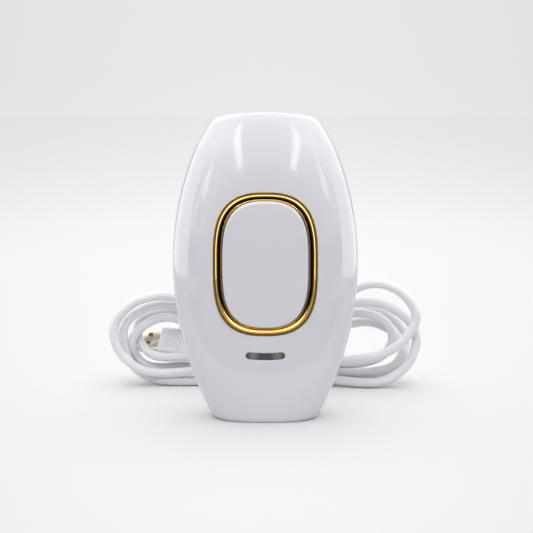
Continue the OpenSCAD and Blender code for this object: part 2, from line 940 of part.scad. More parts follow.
front_shell();
rear_shell();
bezel_ring();
button_cap();
status_lens();
light_guide();
head_frame();
filter_window();
window_gasket();
light_duct();
skin_contacts();
flash_lamp();
lamp_electrodes();
reflector();
lamp_holders();
lamp_carrier();
lamp_heatsink();
temperature_sensor();
main_board();
switch_body();
switch_plunger();
status_leds();
control_chip();
storage_capacitors();
transformer_core();
transformer_winding();
trigger_coil();
power_transistor();
transistor_heatsink();
fan_housing();
fan_stator();
fan_rotor();
fan_screws();
board_screws();
shell_screws();
power_jack();
lamp_wires();
jack_wires();
fan_wires();
plug_barrel();
plug_grip();
plug_strain_relief();
cord_lead();
cord_hank();
cable_tie();
cord_tail();
usb_strain_relief();
usb_grip();
usb_shell();
usb_contacts();
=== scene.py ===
# %% [markdown]
# # A light-flash hair remover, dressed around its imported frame
# The handset is a bowed barrel of glossy white plastic that stands on its flat end. A gold ring holds a
# large push button, a small smile-shaped window shows the flash level, and a lamp sits behind the glass
# in the top. Its USB lead lies wound and tied behind it. The frame file gives every part its place, so
# this lesson only has to make the surfaces look right: it starts with the camera and the cord, then makes
# the shells, the ring, the button and the plugs, and ends with the finishes and the lights.

# %% load the frame
import bpy
import json
import math
from mathutils import Matrix, Vector


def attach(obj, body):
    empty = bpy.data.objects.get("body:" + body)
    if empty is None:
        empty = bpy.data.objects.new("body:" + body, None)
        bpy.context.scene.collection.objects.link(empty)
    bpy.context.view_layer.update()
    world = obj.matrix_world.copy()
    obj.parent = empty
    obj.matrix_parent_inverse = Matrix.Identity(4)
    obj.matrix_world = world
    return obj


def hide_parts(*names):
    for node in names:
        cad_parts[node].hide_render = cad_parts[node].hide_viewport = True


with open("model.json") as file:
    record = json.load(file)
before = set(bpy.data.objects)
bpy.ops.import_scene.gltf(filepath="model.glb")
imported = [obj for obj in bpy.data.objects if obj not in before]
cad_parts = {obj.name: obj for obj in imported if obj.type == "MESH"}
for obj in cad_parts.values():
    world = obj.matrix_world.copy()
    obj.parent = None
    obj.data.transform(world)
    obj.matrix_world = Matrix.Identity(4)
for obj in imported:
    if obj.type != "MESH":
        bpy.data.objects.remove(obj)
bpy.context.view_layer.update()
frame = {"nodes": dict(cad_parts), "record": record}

mm = 0.001

# %% [markdown]
# ## The camera
# A product camera stands half a metre away at the height of the handset's top and looks down a little,
# with a long lens, so the sides stay nearly parallel. It comes first because the unseen part of a cord is
# judged from where the camera stands.

# %% place the camera
camera_data = bpy.data.cameras.new("studio_camera")
camera_data.sensor_width = 36
camera_data.lens = 78.08
camera_data.clip_start = 0.01
camera_tilt = 7.7
camera = bpy.data.objects.new("studio_camera", camera_data)
bpy.context.scene.collection.objects.link(camera)
camera.location = (0.0005, -0.526, 0.141)
camera.rotation_euler = (math.radians(90 - camera_tilt), 0, 0)
bpy.context.scene.camera = camera
print("camera looks down", camera_tilt, "degrees through a", camera_data.lens, "mm lens")

# %% [markdown]
# ## The power cord
# The cord is 1.6 m of limp round PVC lead, 4.7 mm thick. It leaves the plug behind the handset, rises to
# the right, and is wound in figure-of-eight turns: five folds on the right, four on the left, with all
# nine runs pressed into a square bundle at the waist, where a tie holds them. The folds differ from each
# other, so no formula draws them, and each one is a short list of given points. One Bezier spline
# with automatic handles runs through all of them, and a round bevel gives it its thickness.

# %% lay the cord
cord_diameter = 4.7 * mm
lead_from_plug = [
    (0, 45, 18), (0, 49, 18), (2, 54, 19), (8, 57, 23), (16, 57, 29.5), (25, 55, 37), (34, 53, 44)]
right_fold_1 = [
    (42, 51, 49.5), (48, 50, 53), (56, 49.5, 54.5), (64, 49, 52.5), (70, 49, 48.5), (74, 49, 43.5),
    (76, 49, 38.5), (75, 49, 33), (71.5, 49, 27.5), (66.5, 49, 22.5), (60.5, 49.5, 19), (53, 50, 16.5),
    (45, 51.5, 15), (36, 54.5, 13.5)]
waist_run_1 = [(22, 59, 11), (9, 62.5, 9), (0, 63, 8.5), (-9, 62.5, 8.5), (-20, 60, 8)]
left_fold_1 = [
    (-36, 57, 8), (-48.5, 56.5, 7), (-56.5, 56.5, 7), (-64.5, 56.5, 9), (-71, 56.5, 13.5),
    (-75.5, 57, 19), (-77.5, 57.5, 25), (-77.5, 58, 31.5), (-74.5, 58, 37), (-68.5, 58, 42.5),
    (-60, 58, 46), (-50, 59, 46.5), (-40, 60, 43.5)]
waist_run_2 = [
    (-29, 61, 36), (-18, 62.5, 25), (-8, 63.5, 16), (0, 63, 13.5), (8, 63.5, 16), (18, 61.5, 25),
    (30, 58.5, 35.5)]
right_fold_2 = [
    (39, 57, 41), (46, 56, 43.5), (53, 55.5, 44), (61, 55, 42.5), (67, 55, 39.5), (72, 55, 35.5),
    (75.5, 54.5, 31), (77, 54, 25), (76, 54, 19), (73.5, 54, 13), (68.5, 54, 7.5), (61, 53.5, 3.5),
    (53, 53, 2.5), (45, 54, 2.8), (36, 56, 3.5)]
waist_run_3 = [(22, 60.5, 4), (9, 63, 3.5), (0, 63, 3.5), (-9, 63, 3.5), (-20, 60.5, 3)]
left_fold_2 = [
    (-36, 58, 2.5), (-48.5, 58, 2.5), (-57, 60, 3), (-65.5, 62, 6.5), (-70.5, 62.5, 12),
    (-73, 62.8, 18), (-73.8, 63, 24), (-73, 63, 30), (-70, 63, 34.5), (-65, 63, 38), (-57, 63, 41),
    (-48, 64, 41), (-39, 65, 38)]
waist_run_4 = [
    (-29, 66, 31), (-18, 67, 22), (-8, 68, 15.5), (0, 68, 13.5), (8, 68, 15), (18, 66.5, 21),
    (30, 63.5, 29.5)]
right_fold_3 = [
    (39, 61.5, 35), (46, 60.5, 37.5), (53, 60, 37), (59.5, 60, 34.5), (64, 60, 30), (65.5, 60.5, 24.5),
    (64, 61.5, 19), (60, 62.5, 14.5), (53.5, 63.5, 11.5), (45, 64.5, 10)]
waist_run_5 = [(30, 66.5, 10), (10, 68, 8.5), (0, 68, 8.5), (-10, 67.5, 9), (-21, 64, 12)]
left_fold_3 = [
    (-33, 61, 14), (-44, 60.5, 14.5), (-53, 60.5, 14.5), (-59.5, 62, 16), (-63.5, 65, 19),
    (-66.3, 68.8, 23), (-67, 69.8, 27.5), (-65.5, 70, 32), (-61, 70, 35), (-54, 70, 36.5),
    (-46.5, 70, 36.3), (-38, 70.5, 32.5)]
waist_run_6 = [
    (-29, 71, 26.5), (-18, 72.5, 19.5), (-8, 73, 15), (0, 73, 13.5), (8, 73, 14.5), (18, 71.5, 19),
    (30, 68.5, 25)]
right_fold_4 = [
    (39, 66.5, 29), (46.5, 65, 31.5), (53.5, 65, 32), (60, 65, 30.3), (66.5, 65, 26.5),
    (70.5, 63.5, 22), (71.5, 61.5, 17.5), (69.5, 60, 13), (65, 59, 9.5), (58.5, 59, 7.5),
    (51.5, 59.5, 6.5), (40, 61.5, 6)]
waist_run_7 = [(24, 65.5, 4.5), (10, 68, 3.5), (0, 68, 3.5), (-10, 67.5, 4), (-22, 66, 5)]
left_fold_4 = [
    (-34, 65, 8), (-45, 65, 8.5), (-56, 65, 8), (-63, 65.5, 9.5), (-67.3, 66, 13.5), (-69.2, 65, 18),
    (-69.2, 64.2, 22.5), (-66, 64.5, 27.5), (-61, 64.5, 31.5), (-55, 64.8, 34), (-47, 65, 34),
    (-39, 66, 29.5)]
waist_run_8 = [
    (-29, 70.5, 20.8), (-18, 73.3, 13.3), (-9, 74, 9.5), (0, 73, 8.5), (9, 73, 9), (18, 73, 12.5),
    (30, 73.3, 22)]
right_fold_5 = [
    (38, 72.5, 30.5), (45, 71.3, 36), (53, 70.5, 38.5), (61, 70, 37), (68, 70, 32), (72.5, 70, 25),
    (73, 70, 18), (70.5, 70, 11.5), (65, 70.3, 6), (56, 71, 3), (44, 71.5, 2.5), (32, 72, 2.5)]
waist_run_9 = [(20, 73, 3), (10, 73, 3.5), (0, 73, 3.5), (-8, 73, 3.8), (-16, 72.5, 6.2)]
tail_to_usb_plug = [(-22, 69.5, 11), (-25.5, 67, 15.3), (-29, 66.3, 17.8), (-33.2, 67.3, 18.6)]

cord_route = (
    lead_from_plug
    + right_fold_1 + waist_run_1 + left_fold_1 + waist_run_2
    + right_fold_2 + waist_run_3 + left_fold_2 + waist_run_4
    + right_fold_3 + waist_run_5 + left_fold_3 + waist_run_6
    + right_fold_4 + waist_run_7 + left_fold_4 + waist_run_8
    + right_fold_5 + waist_run_9 + tail_to_usb_plug)

cord_curve = bpy.data.curves.new("power_cord", "CURVE")
cord_curve.dimensions = "3D"
cord_curve.resolution_u = 6
cord_curve.bevel_depth = 1
cord_curve.bevel_resolution = 4
cord_curve.use_fill_caps = True
cord_spline = cord_curve.splines.new("BEZIER")
cord_spline.bezier_points.add(len(cord_route) - 1)
for knot, place in zip(cord_spline.bezier_points, cord_route):
    knot.co = knot.handle_left = knot.handle_right = Vector(place) * mm
    knot.handle_left_type = knot.handle_right_type = "AUTO"
    knot.radius = cord_diameter / 2
power_cord = bpy.data.objects.new("power_cord", cord_curve)
bpy.context.scene.collection.objects.link(power_cord)
print("cord:", len(cord_route), "points,", round(cord_spline.calc_length(), 3), "m")

# %% [markdown]
# ## Helpers for working as if by hand
# Operators act on whatever is selected, so each step first selects exactly one piece. A finished piece
# keeps its place in its mesh and its object at the origin. `wrap_grid` is the main tool for moulded
# forms: it adds a flat grid, and then lays every vertex of that grid where a formula says, as a sheet is
# pulled over a former. Its seams and poles are closed by merging the vertices that meet.

# %% selection, merging and joining
def deselect_all():
    for other in list(bpy.context.selected_objects):
        other.select_set(False)


def only(piece):
    deselect_all()
    piece.select_set(True)
    bpy.context.view_layer.objects.active = piece


def edit_all(piece, *steps):
    """Runs edit-mode steps on the whole mesh of one piece."""
    only(piece)
    bpy.ops.object.mode_set(mode="EDIT")
    bpy.ops.mesh.select_all(action="SELECT")
    for step in steps:
        step()
    bpy.ops.object.mode_set(mode="OBJECT")


def merge_and_face_out(piece, distance=0.002 * mm):
    edit_all(
        piece,
        lambda: bpy.ops.mesh.remove_doubles(threshold=distance),
        lambda: bpy.ops.mesh.normals_make_consistent(inside=False))
    return piece


def name_it(name):
    piece = bpy.context.active_object
    piece.name = name
    piece.data.name = name
    return piece


def apply_modifier(piece, kind, **settings):
    only(piece)
    modifier = piece.modifiers.new(kind.lower(), kind)
    for key, value in settings.items():
        setattr(modifier, key, value)
    bpy.ops.object.modifier_apply(modifier=modifier.name)
    return piece


def combine(piece, tool, operation="DIFFERENCE"):
    """Cuts a tool out of a piece, or joins or intersects the two, and throws the tool away."""
    apply_modifier(piece, "BOOLEAN", operation=operation, object=tool, solver="EXACT")
    bpy.data.objects.remove(tool)
    return piece


def smooth(piece, degrees=32):
    only(piece)
    bpy.ops.object.shade_smooth_by_angle(angle=math.radians(degrees))
    return piece


def soften(piece, width, segments=3, degrees=30):
    """Rounds the edges of a moulded piece."""
    return apply_modifier(piece, "BEVEL", width=width, segments=segments, limit_method="ANGLE",
                          angle_limit=math.radians(degrees), use_clamp_overlap=True)


def wrap_grid(name, columns, rows, place):
    """Grid of columns by rows cells, laid on place(u, v) for u and v from 0 to 1."""
    deselect_all()
    bpy.ops.mesh.primitive_grid_add(x_subdivisions=columns, y_subdivisions=rows, size=1)
    piece = name_it(name)
    for vertex in piece.data.vertices:
        u, v = vertex.co.x + 0.5, vertex.co.y + 0.5
        vertex.co = place(u, v)
    return merge_and_face_out(piece)


def block(name, low, high):
    """Box between two corners, in millimetres."""
    deselect_all()
    bpy.ops.mesh.primitive_cube_add(size=1)
    piece = name_it(name)
    for vertex in piece.data.vertices:
        vertex.co = Vector([(a + b) / 2 + c * (b - a) for a, b, c in zip(low, high, vertex.co)]) * mm
    return piece


def rod(name, x, z, near, far, radius, sides=48):
    """Cylinder along Y between two distances, in millimetres."""
    deselect_all()
    bpy.ops.mesh.primitive_cylinder_add(vertices=sides, radius=radius * mm, depth=(far - near) * mm)
    piece = name_it(name)
    piece.data.transform(Matrix.Rotation(math.radians(-90), 4, "X"))
    piece.data.transform(Matrix.Translation(Vector((x, (near + far) / 2, z)) * mm))
    return piece


def spin_round_y(name, profile, x, z, steps=48):
    """Turned piece: a profile of (distance along Y, radius), spun round an axis along Y, in millimetres."""
    mesh = bpy.data.meshes.new(name)
    points = [Vector((x + radius, along, z)) * mm for along, radius in profile]
    mesh.from_pydata(points, [(i, i + 1) for i in range(len(points) - 1)], [])
    piece = bpy.data.objects.new(name, mesh)
    bpy.context.scene.collection.objects.link(piece)
    edit_all(piece, lambda: bpy.ops.mesh.spin(
        steps=steps, angle=math.tau, center=Vector((x, 0, z)) * mm, axis=(0, 1, 0)))
    return merge_and_face_out(piece)


def dress(piece, slot, *stands_for, body="handset"):
    """Finished piece: rides on its body, takes the finish of its slot and stands for its CAD nodes."""
    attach(piece, body)
    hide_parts(*stands_for)
    new_pieces[piece] = slot
    print(piece.name, "stands for", ", ".join(stands_for))
    return piece


new_pieces = {}
print("helpers ready, with", len(bpy.context.selected_objects), "pieces selected to start with")

# %% [markdown]
# ## The form of the barrel
# Seen from the front, each side of the body is one long bow, and the front and rear faces bow a little
# too. Across, the body is a squared oval that is deeper behind than in front. The ends are rounded over,
# and the top is slightly crowned. A few radii give all of that, so the form is written as a formula. It
# could also be box-modelled and subdivided, but then the ring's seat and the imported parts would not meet
# it exactly.

# %% outline formulas of the body, in millimetres
body_height = 140
half_body_width = 42.4
front_depth = 22.2
rear_depth = 23.2
side_radius = 133
lower_side_radius = 152
profile_radius = 340
squareness = 2.55
wall = 2
wide_height = 72
base_round = 2.2
top_round = 3
edge_round_depth = 0.35
crown_start = 125
crown_radius = 116
cavity_floor = 2.4
cavity_top = 131


def bowed(z, half, radius):
    return half - (radius - math.sqrt(radius ** 2 - (z - wide_height) ** 2))


def end_inset(z):
    if z < base_round:
        return base_round - math.sqrt(max(0, base_round ** 2 - (base_round - z) ** 2))
    if z > body_height - top_round:
        return top_round - math.sqrt(max(0, top_round ** 2 - (z - body_height + top_round) ** 2))
    return 0


def half_width_at(z):
    radius = lower_side_radius if z < wide_height else side_radius
    return bowed(z, half_body_width, radius) - end_inset(z)


def half_depth_at(z, depth):
    return bowed(z, depth, profile_radius) - end_inset(z) * edge_round_depth


def squared(value, power):
    return math.copysign(abs(value) ** (2 / power), value)


def crown_drop(x, z):
    return x * x / (2 * crown_radius) * max(0, (z - crown_start) / (body_height - crown_start))


def wall_distance(x, z, depth):
    return half_depth_at(z, depth) * (1 - (abs(x) / half_width_at(z)) ** squareness) ** (1 / squareness)


print("body at its widest:", 2 * half_width_at(wide_height), "mm")

# %% [markdown]
# ## The shells
# The real body is two mouldings that meet on the middle plane. Here one closed skin is wrapped for the
# outside and one for the hollow, the hollow is cut out, and the result is sliced into a front and a rear
# shell with a hair's gap between them. Screw bosses and board posts are joined on, and then every opening
# is cut: the ring's seat, the status window, the air slots, the screw wells and the power inlet.

# %% wrap the body's outside and its hollow
end_steps = 9
side_steps = 60


def stations(bottom, top, bottom_round, upper_round):
    """Heights up the body with their share of the full section, closed at both ends."""
    quarter = [i / end_steps * math.pi / 2 for i in range(end_steps + 1)]
    low = [bottom + bottom_round * (1 - math.cos(a)) for a in quarter]
    high = [top - upper_round * (1 - math.sin(a)) for a in quarter]
    between = [low[-1] + (high[0] - low[-1]) * i / side_steps for i in range(1, side_steps)]
    rows = [(bottom, share) for share in (0, 0.4, 0.7, 0.88, 0.96)]
    rows += [(z, 1) for z in low + between + high]
    rows += [(top, share) for share in (0.97, 0.9, 0.75, 0.5, 0.25, 0)]
    return rows


def section_point(turn, z, share, inset, crowned):
    angle = turn * math.tau
    depth = front_depth if math.sin(angle) < 0 else rear_depth
    x = (half_width_at(z) - inset) * squared(math.cos(angle), squareness) * share
    y = (half_depth_at(z, depth) - inset) * squared(math.sin(angle), squareness) * share
    return Vector((x, y, z - crown_drop(x, z) if crowned else z)) * mm


def wrap_body(name, rows, inset, crowned, columns=168):
    last = len(rows) - 1

    def place(u, v):
        z, share = rows[round(v * last)]
        return section_point(u, z, share, inset, crowned)
    return wrap_grid(name, columns, last, place)


def hollow_body(name):
    outside = wrap_body(name, stations(0, body_height, base_round, top_round), 0, True)
    hollow = wrap_body("hollow", stations(cavity_floor, cavity_top, 0.1, 0.1), wall, False, 96)
    return combine(outside, hollow)


# %% flat shapes that cut or join the shells
def extrude_along_y(name, outline, near, far):
    """Prism: an outline of (x, z) places filled at one distance and extruded to another."""
    mesh = bpy.data.meshes.new(name)
    mesh.from_pydata([Vector((x, near, z)) * mm for x, z in outline], [], [range(len(outline))])
    piece = bpy.data.objects.new(name, mesh)
    bpy.context.scene.collection.objects.link(piece)
    edit_all(
        piece,
        lambda: bpy.ops.mesh.extrude_region_move(
            TRANSFORM_OT_translate={"value": (0, (far - near) * mm, 0)}),
        lambda: bpy.ops.mesh.select_all(action="SELECT"),
        lambda: bpy.ops.mesh.normals_make_consistent(inside=False))
    return piece


def flare_along_y(name, narrow, near, wide, far):
    """Funnel between two outlines with the same number of places."""
    count = len(narrow)
    mesh = bpy.data.meshes.new(name)
    mesh.from_pydata(
        [Vector((x, near, z)) * mm for x, z in narrow] + [Vector((x, far, z)) * mm for x, z in wide], [],
        [(i, (i + 1) % count, count + (i + 1) % count, count + i) for i in range(count)]
        + [range(count), range(count, 2 * count)])
    piece = bpy.data.objects.new(name, mesh)
    bpy.context.scene.collection.objects.link(piece)
    return merge_and_face_out(piece)


ring_height = 73.4
ring_power_x = 2.65
ring_power_z = 3.2


def oval_place(turn, half_width, half_height):
    angle = turn * math.tau
    return (half_width * squared(math.cos(angle), ring_power_x),
            ring_height + half_height * squared(math.sin(angle), ring_power_z))


def oval(half_width, half_height, steps=120):
    return [oval_place(i / steps, half_width, half_height) for i in range(steps)]


def slot(x, z, length, width, upright=False, steps=8):
    """Slot with round ends, centred on a place."""
    outline = []
    for side in (1, -1):
        for i in range(steps + 1):
            angle = math.pi * (i / steps - 0.5)
            along = side * ((length - width) / 2 + math.cos(angle) * width / 2)
            across = side * math.sin(angle) * width / 2
            outline.append((x - across, z + along) if upright else (x + along, z + across))
    return outline


# %% front shell
boss_places = [(-30, 92), (30, 92), (-25, 29), (25, 29)]
board_posts = [(-17, 39), (17, 39), (-18, 100), (18, 100)]
boss_radius = 3.2
board_front = 10.6
fit_gap = 0.2
ring_seat = 19.4
ring_half_width = 23.2
ring_half_height = 32
skirt_half_width = 21.3
skirt_half_height = 30.1
seam = 0.04
far_out = 40


def boss_end(x, z, depth):
    return wall_distance(abs(x) + boss_radius, z, depth) - 0.5


lens_height = 31.8
lens_face = 19.65
lens_tilt = 6.7
lens_length = 17.6
lens_width = 3.3
lens_bow = 58


def window_outline(length, width, steps=24):
    """Slot that sags in its middle like a smile: two arcs joined by round ends."""
    reach = math.asin((length - width) / 2 / lens_bow)
    outline = []
    for radius, turn in ((lens_bow + width / 2, 1), (lens_bow - width / 2, -1)):
        for i in range(steps + 1):
            angle = turn * reach * (2 * i / steps - 1)
            outline.append((radius * math.sin(angle), lens_bow - radius * math.cos(angle)))
        end = turn * reach
        for i in range(1, 8):
            around = end + i / 8 * math.pi + (math.pi if turn < 0 else 0)
            outline.append((lens_bow * math.sin(end) + width / 2 * math.sin(around),
                            lens_bow - lens_bow * math.cos(end) - width / 2 * math.cos(around)))
    return [(x, z + lens_height) for x, z in outline]


def tilt_to_wall(piece):
    """Leans a piece back at the status window, so that it lies along the bowed wall."""
    pivot = Vector((0, -lens_face, lens_height)) * mm
    lean = Matrix.Rotation(math.radians(lens_tilt), 4, "X")
    piece.data.transform(Matrix.Translation(pivot) @ lean @ Matrix.Translation(-pivot))
    return piece


front = hollow_body("front_shell_moulding")
combine(front, block("front_half", (-60, -60, -10), (60, -seam, 160)), "INTERSECT")
for x, z in boss_places:
    combine(front, rod("boss", x, z, -boss_end(x, z, front_depth), -0.2, boss_radius), "UNION")
for x, z in board_posts:
    combine(front, rod("post", x, z, -wall_distance(x, z, front_depth) + 1.2, -board_front, 2.2), "UNION")
combine(front, extrude_along_y(
    "seat", oval(ring_half_width + 0.1, ring_half_height + 0.1), -far_out, -ring_seat))
combine(front, extrude_along_y(
    "opening", oval(skirt_half_width + fit_gap, skirt_half_height + fit_gap), -far_out, -10))
combine(front, tilt_to_wall(extrude_along_y(
    "window", window_outline(lens_length + 0.1, lens_width + 0.1), -far_out, -10)))
combine(front, tilt_to_wall(flare_along_y(
    "window_edge", window_outline(lens_length + 0.12, lens_width + 0.12), -lens_face + 0.1,
    window_outline(lens_length + 2.12, lens_width + 2.12), -lens_face - 0.9)))
for x, z in boss_places:
    combine(front, rod("screw_hole", x, z, -8, 1, 1.25, 24))
for x, z in board_posts:
    combine(front, rod("post_hole", x, z, -board_front - 4, -board_front + 1, 0.9, 24))
print("front shell:", len(front.data.polygons), "faces")

# %% rear shell
fan_height = 45
fan_bore = 14
fan_pads = [(sx * 12, fan_height + sz * 12) for sx in (-1, 1) for sz in (-1, 1)]
inlet_height = 18
rear = hollow_body("rear_shell_moulding")
combine(rear, block("rear_half", (-60, seam, -10), (60, 60, 160)), "INTERSECT")
for x, z in boss_places:
    combine(rear, rod("boss", x, z, 0.2, boss_end(x, z, rear_depth), boss_radius), "UNION")
for x, z in fan_pads:
    combine(rear, rod("pad", x, z, 17, wall_distance(x, z, rear_depth) - 1, 2.4), "UNION")
for x, z in boss_places:
    well = wall_distance(x, z, rear_depth) - 4.5
    combine(rear, rod("screw_hole", x, z, -1, well + 1, 1.45, 24))
    combine(rear, rod("screw_well", x, z, well, far_out, 2.6))
for i in range(-3, 4):
    length = 2 * math.sqrt((fan_bore - 0.6) ** 2 - (3.9 * i) ** 2)
    combine(rear, extrude_along_y(
        "intake", slot(3.9 * i, fan_height, length, 2, upright=True), 10, far_out))
for i in range(3):
    combine(rear, extrude_along_y("outlet", slot(0, 113 + 4 * i, 24 - 3 * i, 1.8), 10, far_out))
combine(rear, rod("inlet", 0, inlet_height, 10, far_out, 4.6))
combine(rear, rod("inlet_rim", 0, inlet_height, 18.4, far_out, 5.6))
print("rear shell:", len(rear.data.polygons), "faces")

# %% open the neck for the head and finish both shells
neck_half_width = 17.6
neck_half_depth = 11.6
neck_power = 3.2


def neck_block(name, margin, bottom, top):
    steps = 72
    outline = [((neck_half_width - margin) * squared(math.cos(i / steps * math.tau), neck_power),
                (neck_half_depth - margin) * squared(math.sin(i / steps * math.tau), neck_power))
               for i in range(steps)]
    piece = extrude_along_y(name, outline, bottom, top)
    piece.data.transform(Matrix.Rotation(math.radians(90), 4, "X"))
    return merge_and_face_out(piece)


for shell, node in ((front, "front_shell"), (rear, "rear_shell")):
    combine(shell, neck_block("neck", 0, cavity_top - 1, 160))
    smooth(shell, 28)
    dress(shell, "white_gloss", node)

# %% [markdown]
# ## The gold ring
# The ring is a plated moulding with a section that a single profile describes: a narrow flat band
# outside, a raised bead, a deep groove and a small lip beside the button. The profile is carried round
# the squared oval, so it is wrapped as a grid that closes in both directions. Each vertex also gets a
# number that says how deep in the groove it lies, away from the ring's lower end, and the gold finish
# reads it to paint shade into the groove: the gold there is darkened almost to black, except near the lower
# end.

# %% wrap the ring
ring_profile = [
    (0, 19.42), (0, 20.6), (0.015, 20.64), (0.04, 20.66), (0.08, 20.667), (0.14, 20.67), (0.6, 20.69),
    (1.1, 20.715), (1.15, 20.722), (1.19, 20.75), (1.24, 20.81), (1.34, 20.95), (1.44, 21.07), (1.5, 21.12),
    (1.55, 21.145), (1.6, 21.15), (1.75, 21.15), (1.81, 21.135), (1.88, 21.1), (2.1, 20.98), (2.4, 20.8),
    (2.48, 20.72), (2.54, 20.6), (2.64, 20.2), (2.76, 19.9), (2.86, 19.84), (2.96, 19.94), (3.05, 20.16),
    (3.11, 20.32), (3.18, 20.4), (3.28, 20.44), (3.5, 20.46), (3.7, 20.45), (3.81, 20.38), (3.87, 20.2),
    (3.9, 19.6), (3.9, 17.4), (1.9, 17.4), (1.9, 19.42), (0, 19.42)]


def ring_place(u, v):
    inward, distance = ring_profile[round(v * (len(ring_profile) - 1))]
    x, z = oval_place(u, ring_half_width - inward, ring_half_height - inward)
    return Vector((x, -distance, z)) * mm


def inward_at(x, z):
    """How far inside the ring's outer edge a place lies, found by halving."""
    low, high = -0.1, 4.0
    for halving in range(24):
        middle = (low + high) / 2
        inside = (abs(x) / (ring_half_width - middle)) ** ring_power_x + (
            abs(z - ring_height) / (ring_half_height - middle)) ** ring_power_z
        low, high = (middle, high) if inside < 1 else (low, middle)
    return middle


def fade(value, start, end):
    return min(1, max(0, (value - start) / (end - start)))


gold_ring = wrap_grid("gold_ring", 160, len(ring_profile) - 1, ring_place)
# mask of the groove's painted shade: how deep in the groove each vertex lies, faded out near the ring's
# lower end
groove = gold_ring.data.attributes.new("groove", "FLOAT", "POINT")
for vertex in gold_ring.data.vertices:
    x, z = vertex.co.x / mm, vertex.co.z / mm
    inward = inward_at(x, z)
    groove.data[vertex.index].value = (
        fade(inward, 1.95, 2.1) * fade(inward, 3.2, 3.05) * fade(z, 46, 56))
dress(smooth(gold_ring, 50), "gold", "bezel_ring")

# %% [markdown]
# ## The button
# The button is a thin domed cap. Its crown is nearly flat and turns down over a small radius at the edge,
# where a bright line of light sits. Behind the ring it has a flange that keeps it from falling out, and a
# post on its inside presses the switch.

# %% wrap the button and hollow it
button_half_width = 19
button_half_height = 28.1
button_edge = 21.3
button_dome = 1.9
flange = 1.5
button_edge_width = 0.042
crown_shares = [1, 0.9985, 0.996, 0.992, 0.987, 0.981, 0.974, 0.966, 0.958, 0.94, 0.9, 0.84, 0.75, 0.65,
                0.55, 0.42, 0.28, 0.14, 0]


def dome_rise(share):
    over_edge = max(0, (share - 1 + button_edge_width) / button_edge_width)
    return 0.45 * math.sqrt(1 - over_edge ** 2) + 0.55 * (1 - share ** 2)


button_rows = [(0, 0, 15.9), (0.6, 0, 15.9), (1, flange, 15.9), (1, flange, 17.1), (1, 0, 17.1), (1, 0, 19)]
button_rows += [(share, 0, button_edge + button_dome * dome_rise(share)) for share in crown_shares]


def button_place(u, v):
    share, extra, distance = button_rows[round(v * (len(button_rows) - 1))]
    x, z = oval_place(u, button_half_width * share + extra, button_half_height * share + extra)
    return Vector((x, -distance, z)) * mm


power_button = wrap_grid("power_button", 144, len(button_rows) - 1, button_place)
post = rod("post", 0, 72, -30, -15.4, 2)
room = combine(extrude_along_y(
    "room", oval(button_half_width - 1.6, button_half_height - 1.6), -19.7, -10), post)
combine(power_button, room)
dress(smooth(power_button, 40), "button_white", "button_cap", body="button")

# %% [markdown]
# ## The status window
# Five small lamps on the circuit board show the flash level through this window. It is a smoked lens in
# the shape of a shallow smile, a little below the wall around it, with softened edges.

# %% press out the lens
status_window = tilt_to_wall(extrude_along_y(
    "status_window", window_outline(lens_length, lens_width), -lens_face, -lens_face + 2))
soften(status_window, 0.28 * mm, 4, 40)
dress(smooth(status_window, 50), "smoked_lens", "status_lens")

# %% [markdown]
# ## The treatment head
# A satin grey frame closes the top of the shells. It follows the crown, its edges are rounded because
# they touch skin, and it holds the filter glass over the lamp. On either side of the glass sits a small
# metal contact that lets the lamp fire only against skin.

# %% frame around the light window
head_bottom = 130.2
head_top = 139.6
head_edge = 0.9
head_rows = [(head_bottom, 0, 0), (head_bottom, 0, 1)] + [
    (head_bottom + i * 1.2, 0, 1) for i in range(1, 7)]
head_rows += [(head_top - head_edge * (1 - math.sin(a)), head_edge * (1 - math.cos(a)), 1)
              for a in [i / 6 * math.pi / 2 for i in range(7)]]
head_rows += [(head_top, head_edge, share) for share in (0.92, 0.8, 0.65, 0.5, 0.35, 0.2, 0.1, 0)]
window_half_length = 15
window_half_width = 5
pocket_half_length = window_half_length + 1.5
pocket_half_width = window_half_width + 1.5
contact_place = window_half_length + 1.2


def head_place(u, v):
    z, inset, share = head_rows[round(v * (len(head_rows) - 1))]
    angle = u * math.tau
    x = (neck_half_width - fit_gap - inset) * squared(math.cos(angle), neck_power) * share
    y = (neck_half_depth - fit_gap - inset) * squared(math.sin(angle), neck_power) * share
    return Vector((x, y, z - x * x / (2 * crown_radius))) * mm


def rounded_block(name, low, high, radius, segments=4):
    return soften(block(name, low, high), radius * mm, segments)


head_frame = wrap_grid("head_window_frame", 120, len(head_rows) - 1, head_place)
combine(head_frame, neck_block("head_flange", -1.6, 128.5, 130.6), "UNION")
combine(head_frame, rounded_block(
    "light_opening", (-window_half_length, -window_half_width, 100),
    (window_half_length, window_half_width, 150), 0.8))
combine(head_frame, block(
    "glass_pocket", (-pocket_half_length, -pocket_half_width, 100),
    (pocket_half_length, pocket_half_width, 136)))
for side in (-1, 1):
    x = side * contact_place
    combine(head_frame, rounded_block("contact_slot", (x - 0.6, -3.1, 137), (x + 0.6, 3.1, 145), 0.3))
soften(head_frame, 0.18 * mm, 2, 50)
dress(smooth(head_frame, 40), "head_grey", "head_frame")

# %% skin contacts, pressed from thin metal with rolled edges
contacts = rounded_block(
    "skin_contact_pair", (contact_place - 0.5, -3, 137), (contact_place + 0.5, 3, 139), 0.35)
apply_modifier(contacts, "MIRROR", use_axis=(True, False, False))
dress(smooth(merge_and_face_out(contacts), 50), "contact_metal", "skin_contacts")

# %% [markdown]
# ## The power plug
# The lead ends in a round plug in the rear inlet. Its grip is a turned form with ribs for the fingers,
# and a bellows-like strain relief tapers from the grip to the cord. Both are spun from a profile, as on a
# lathe.

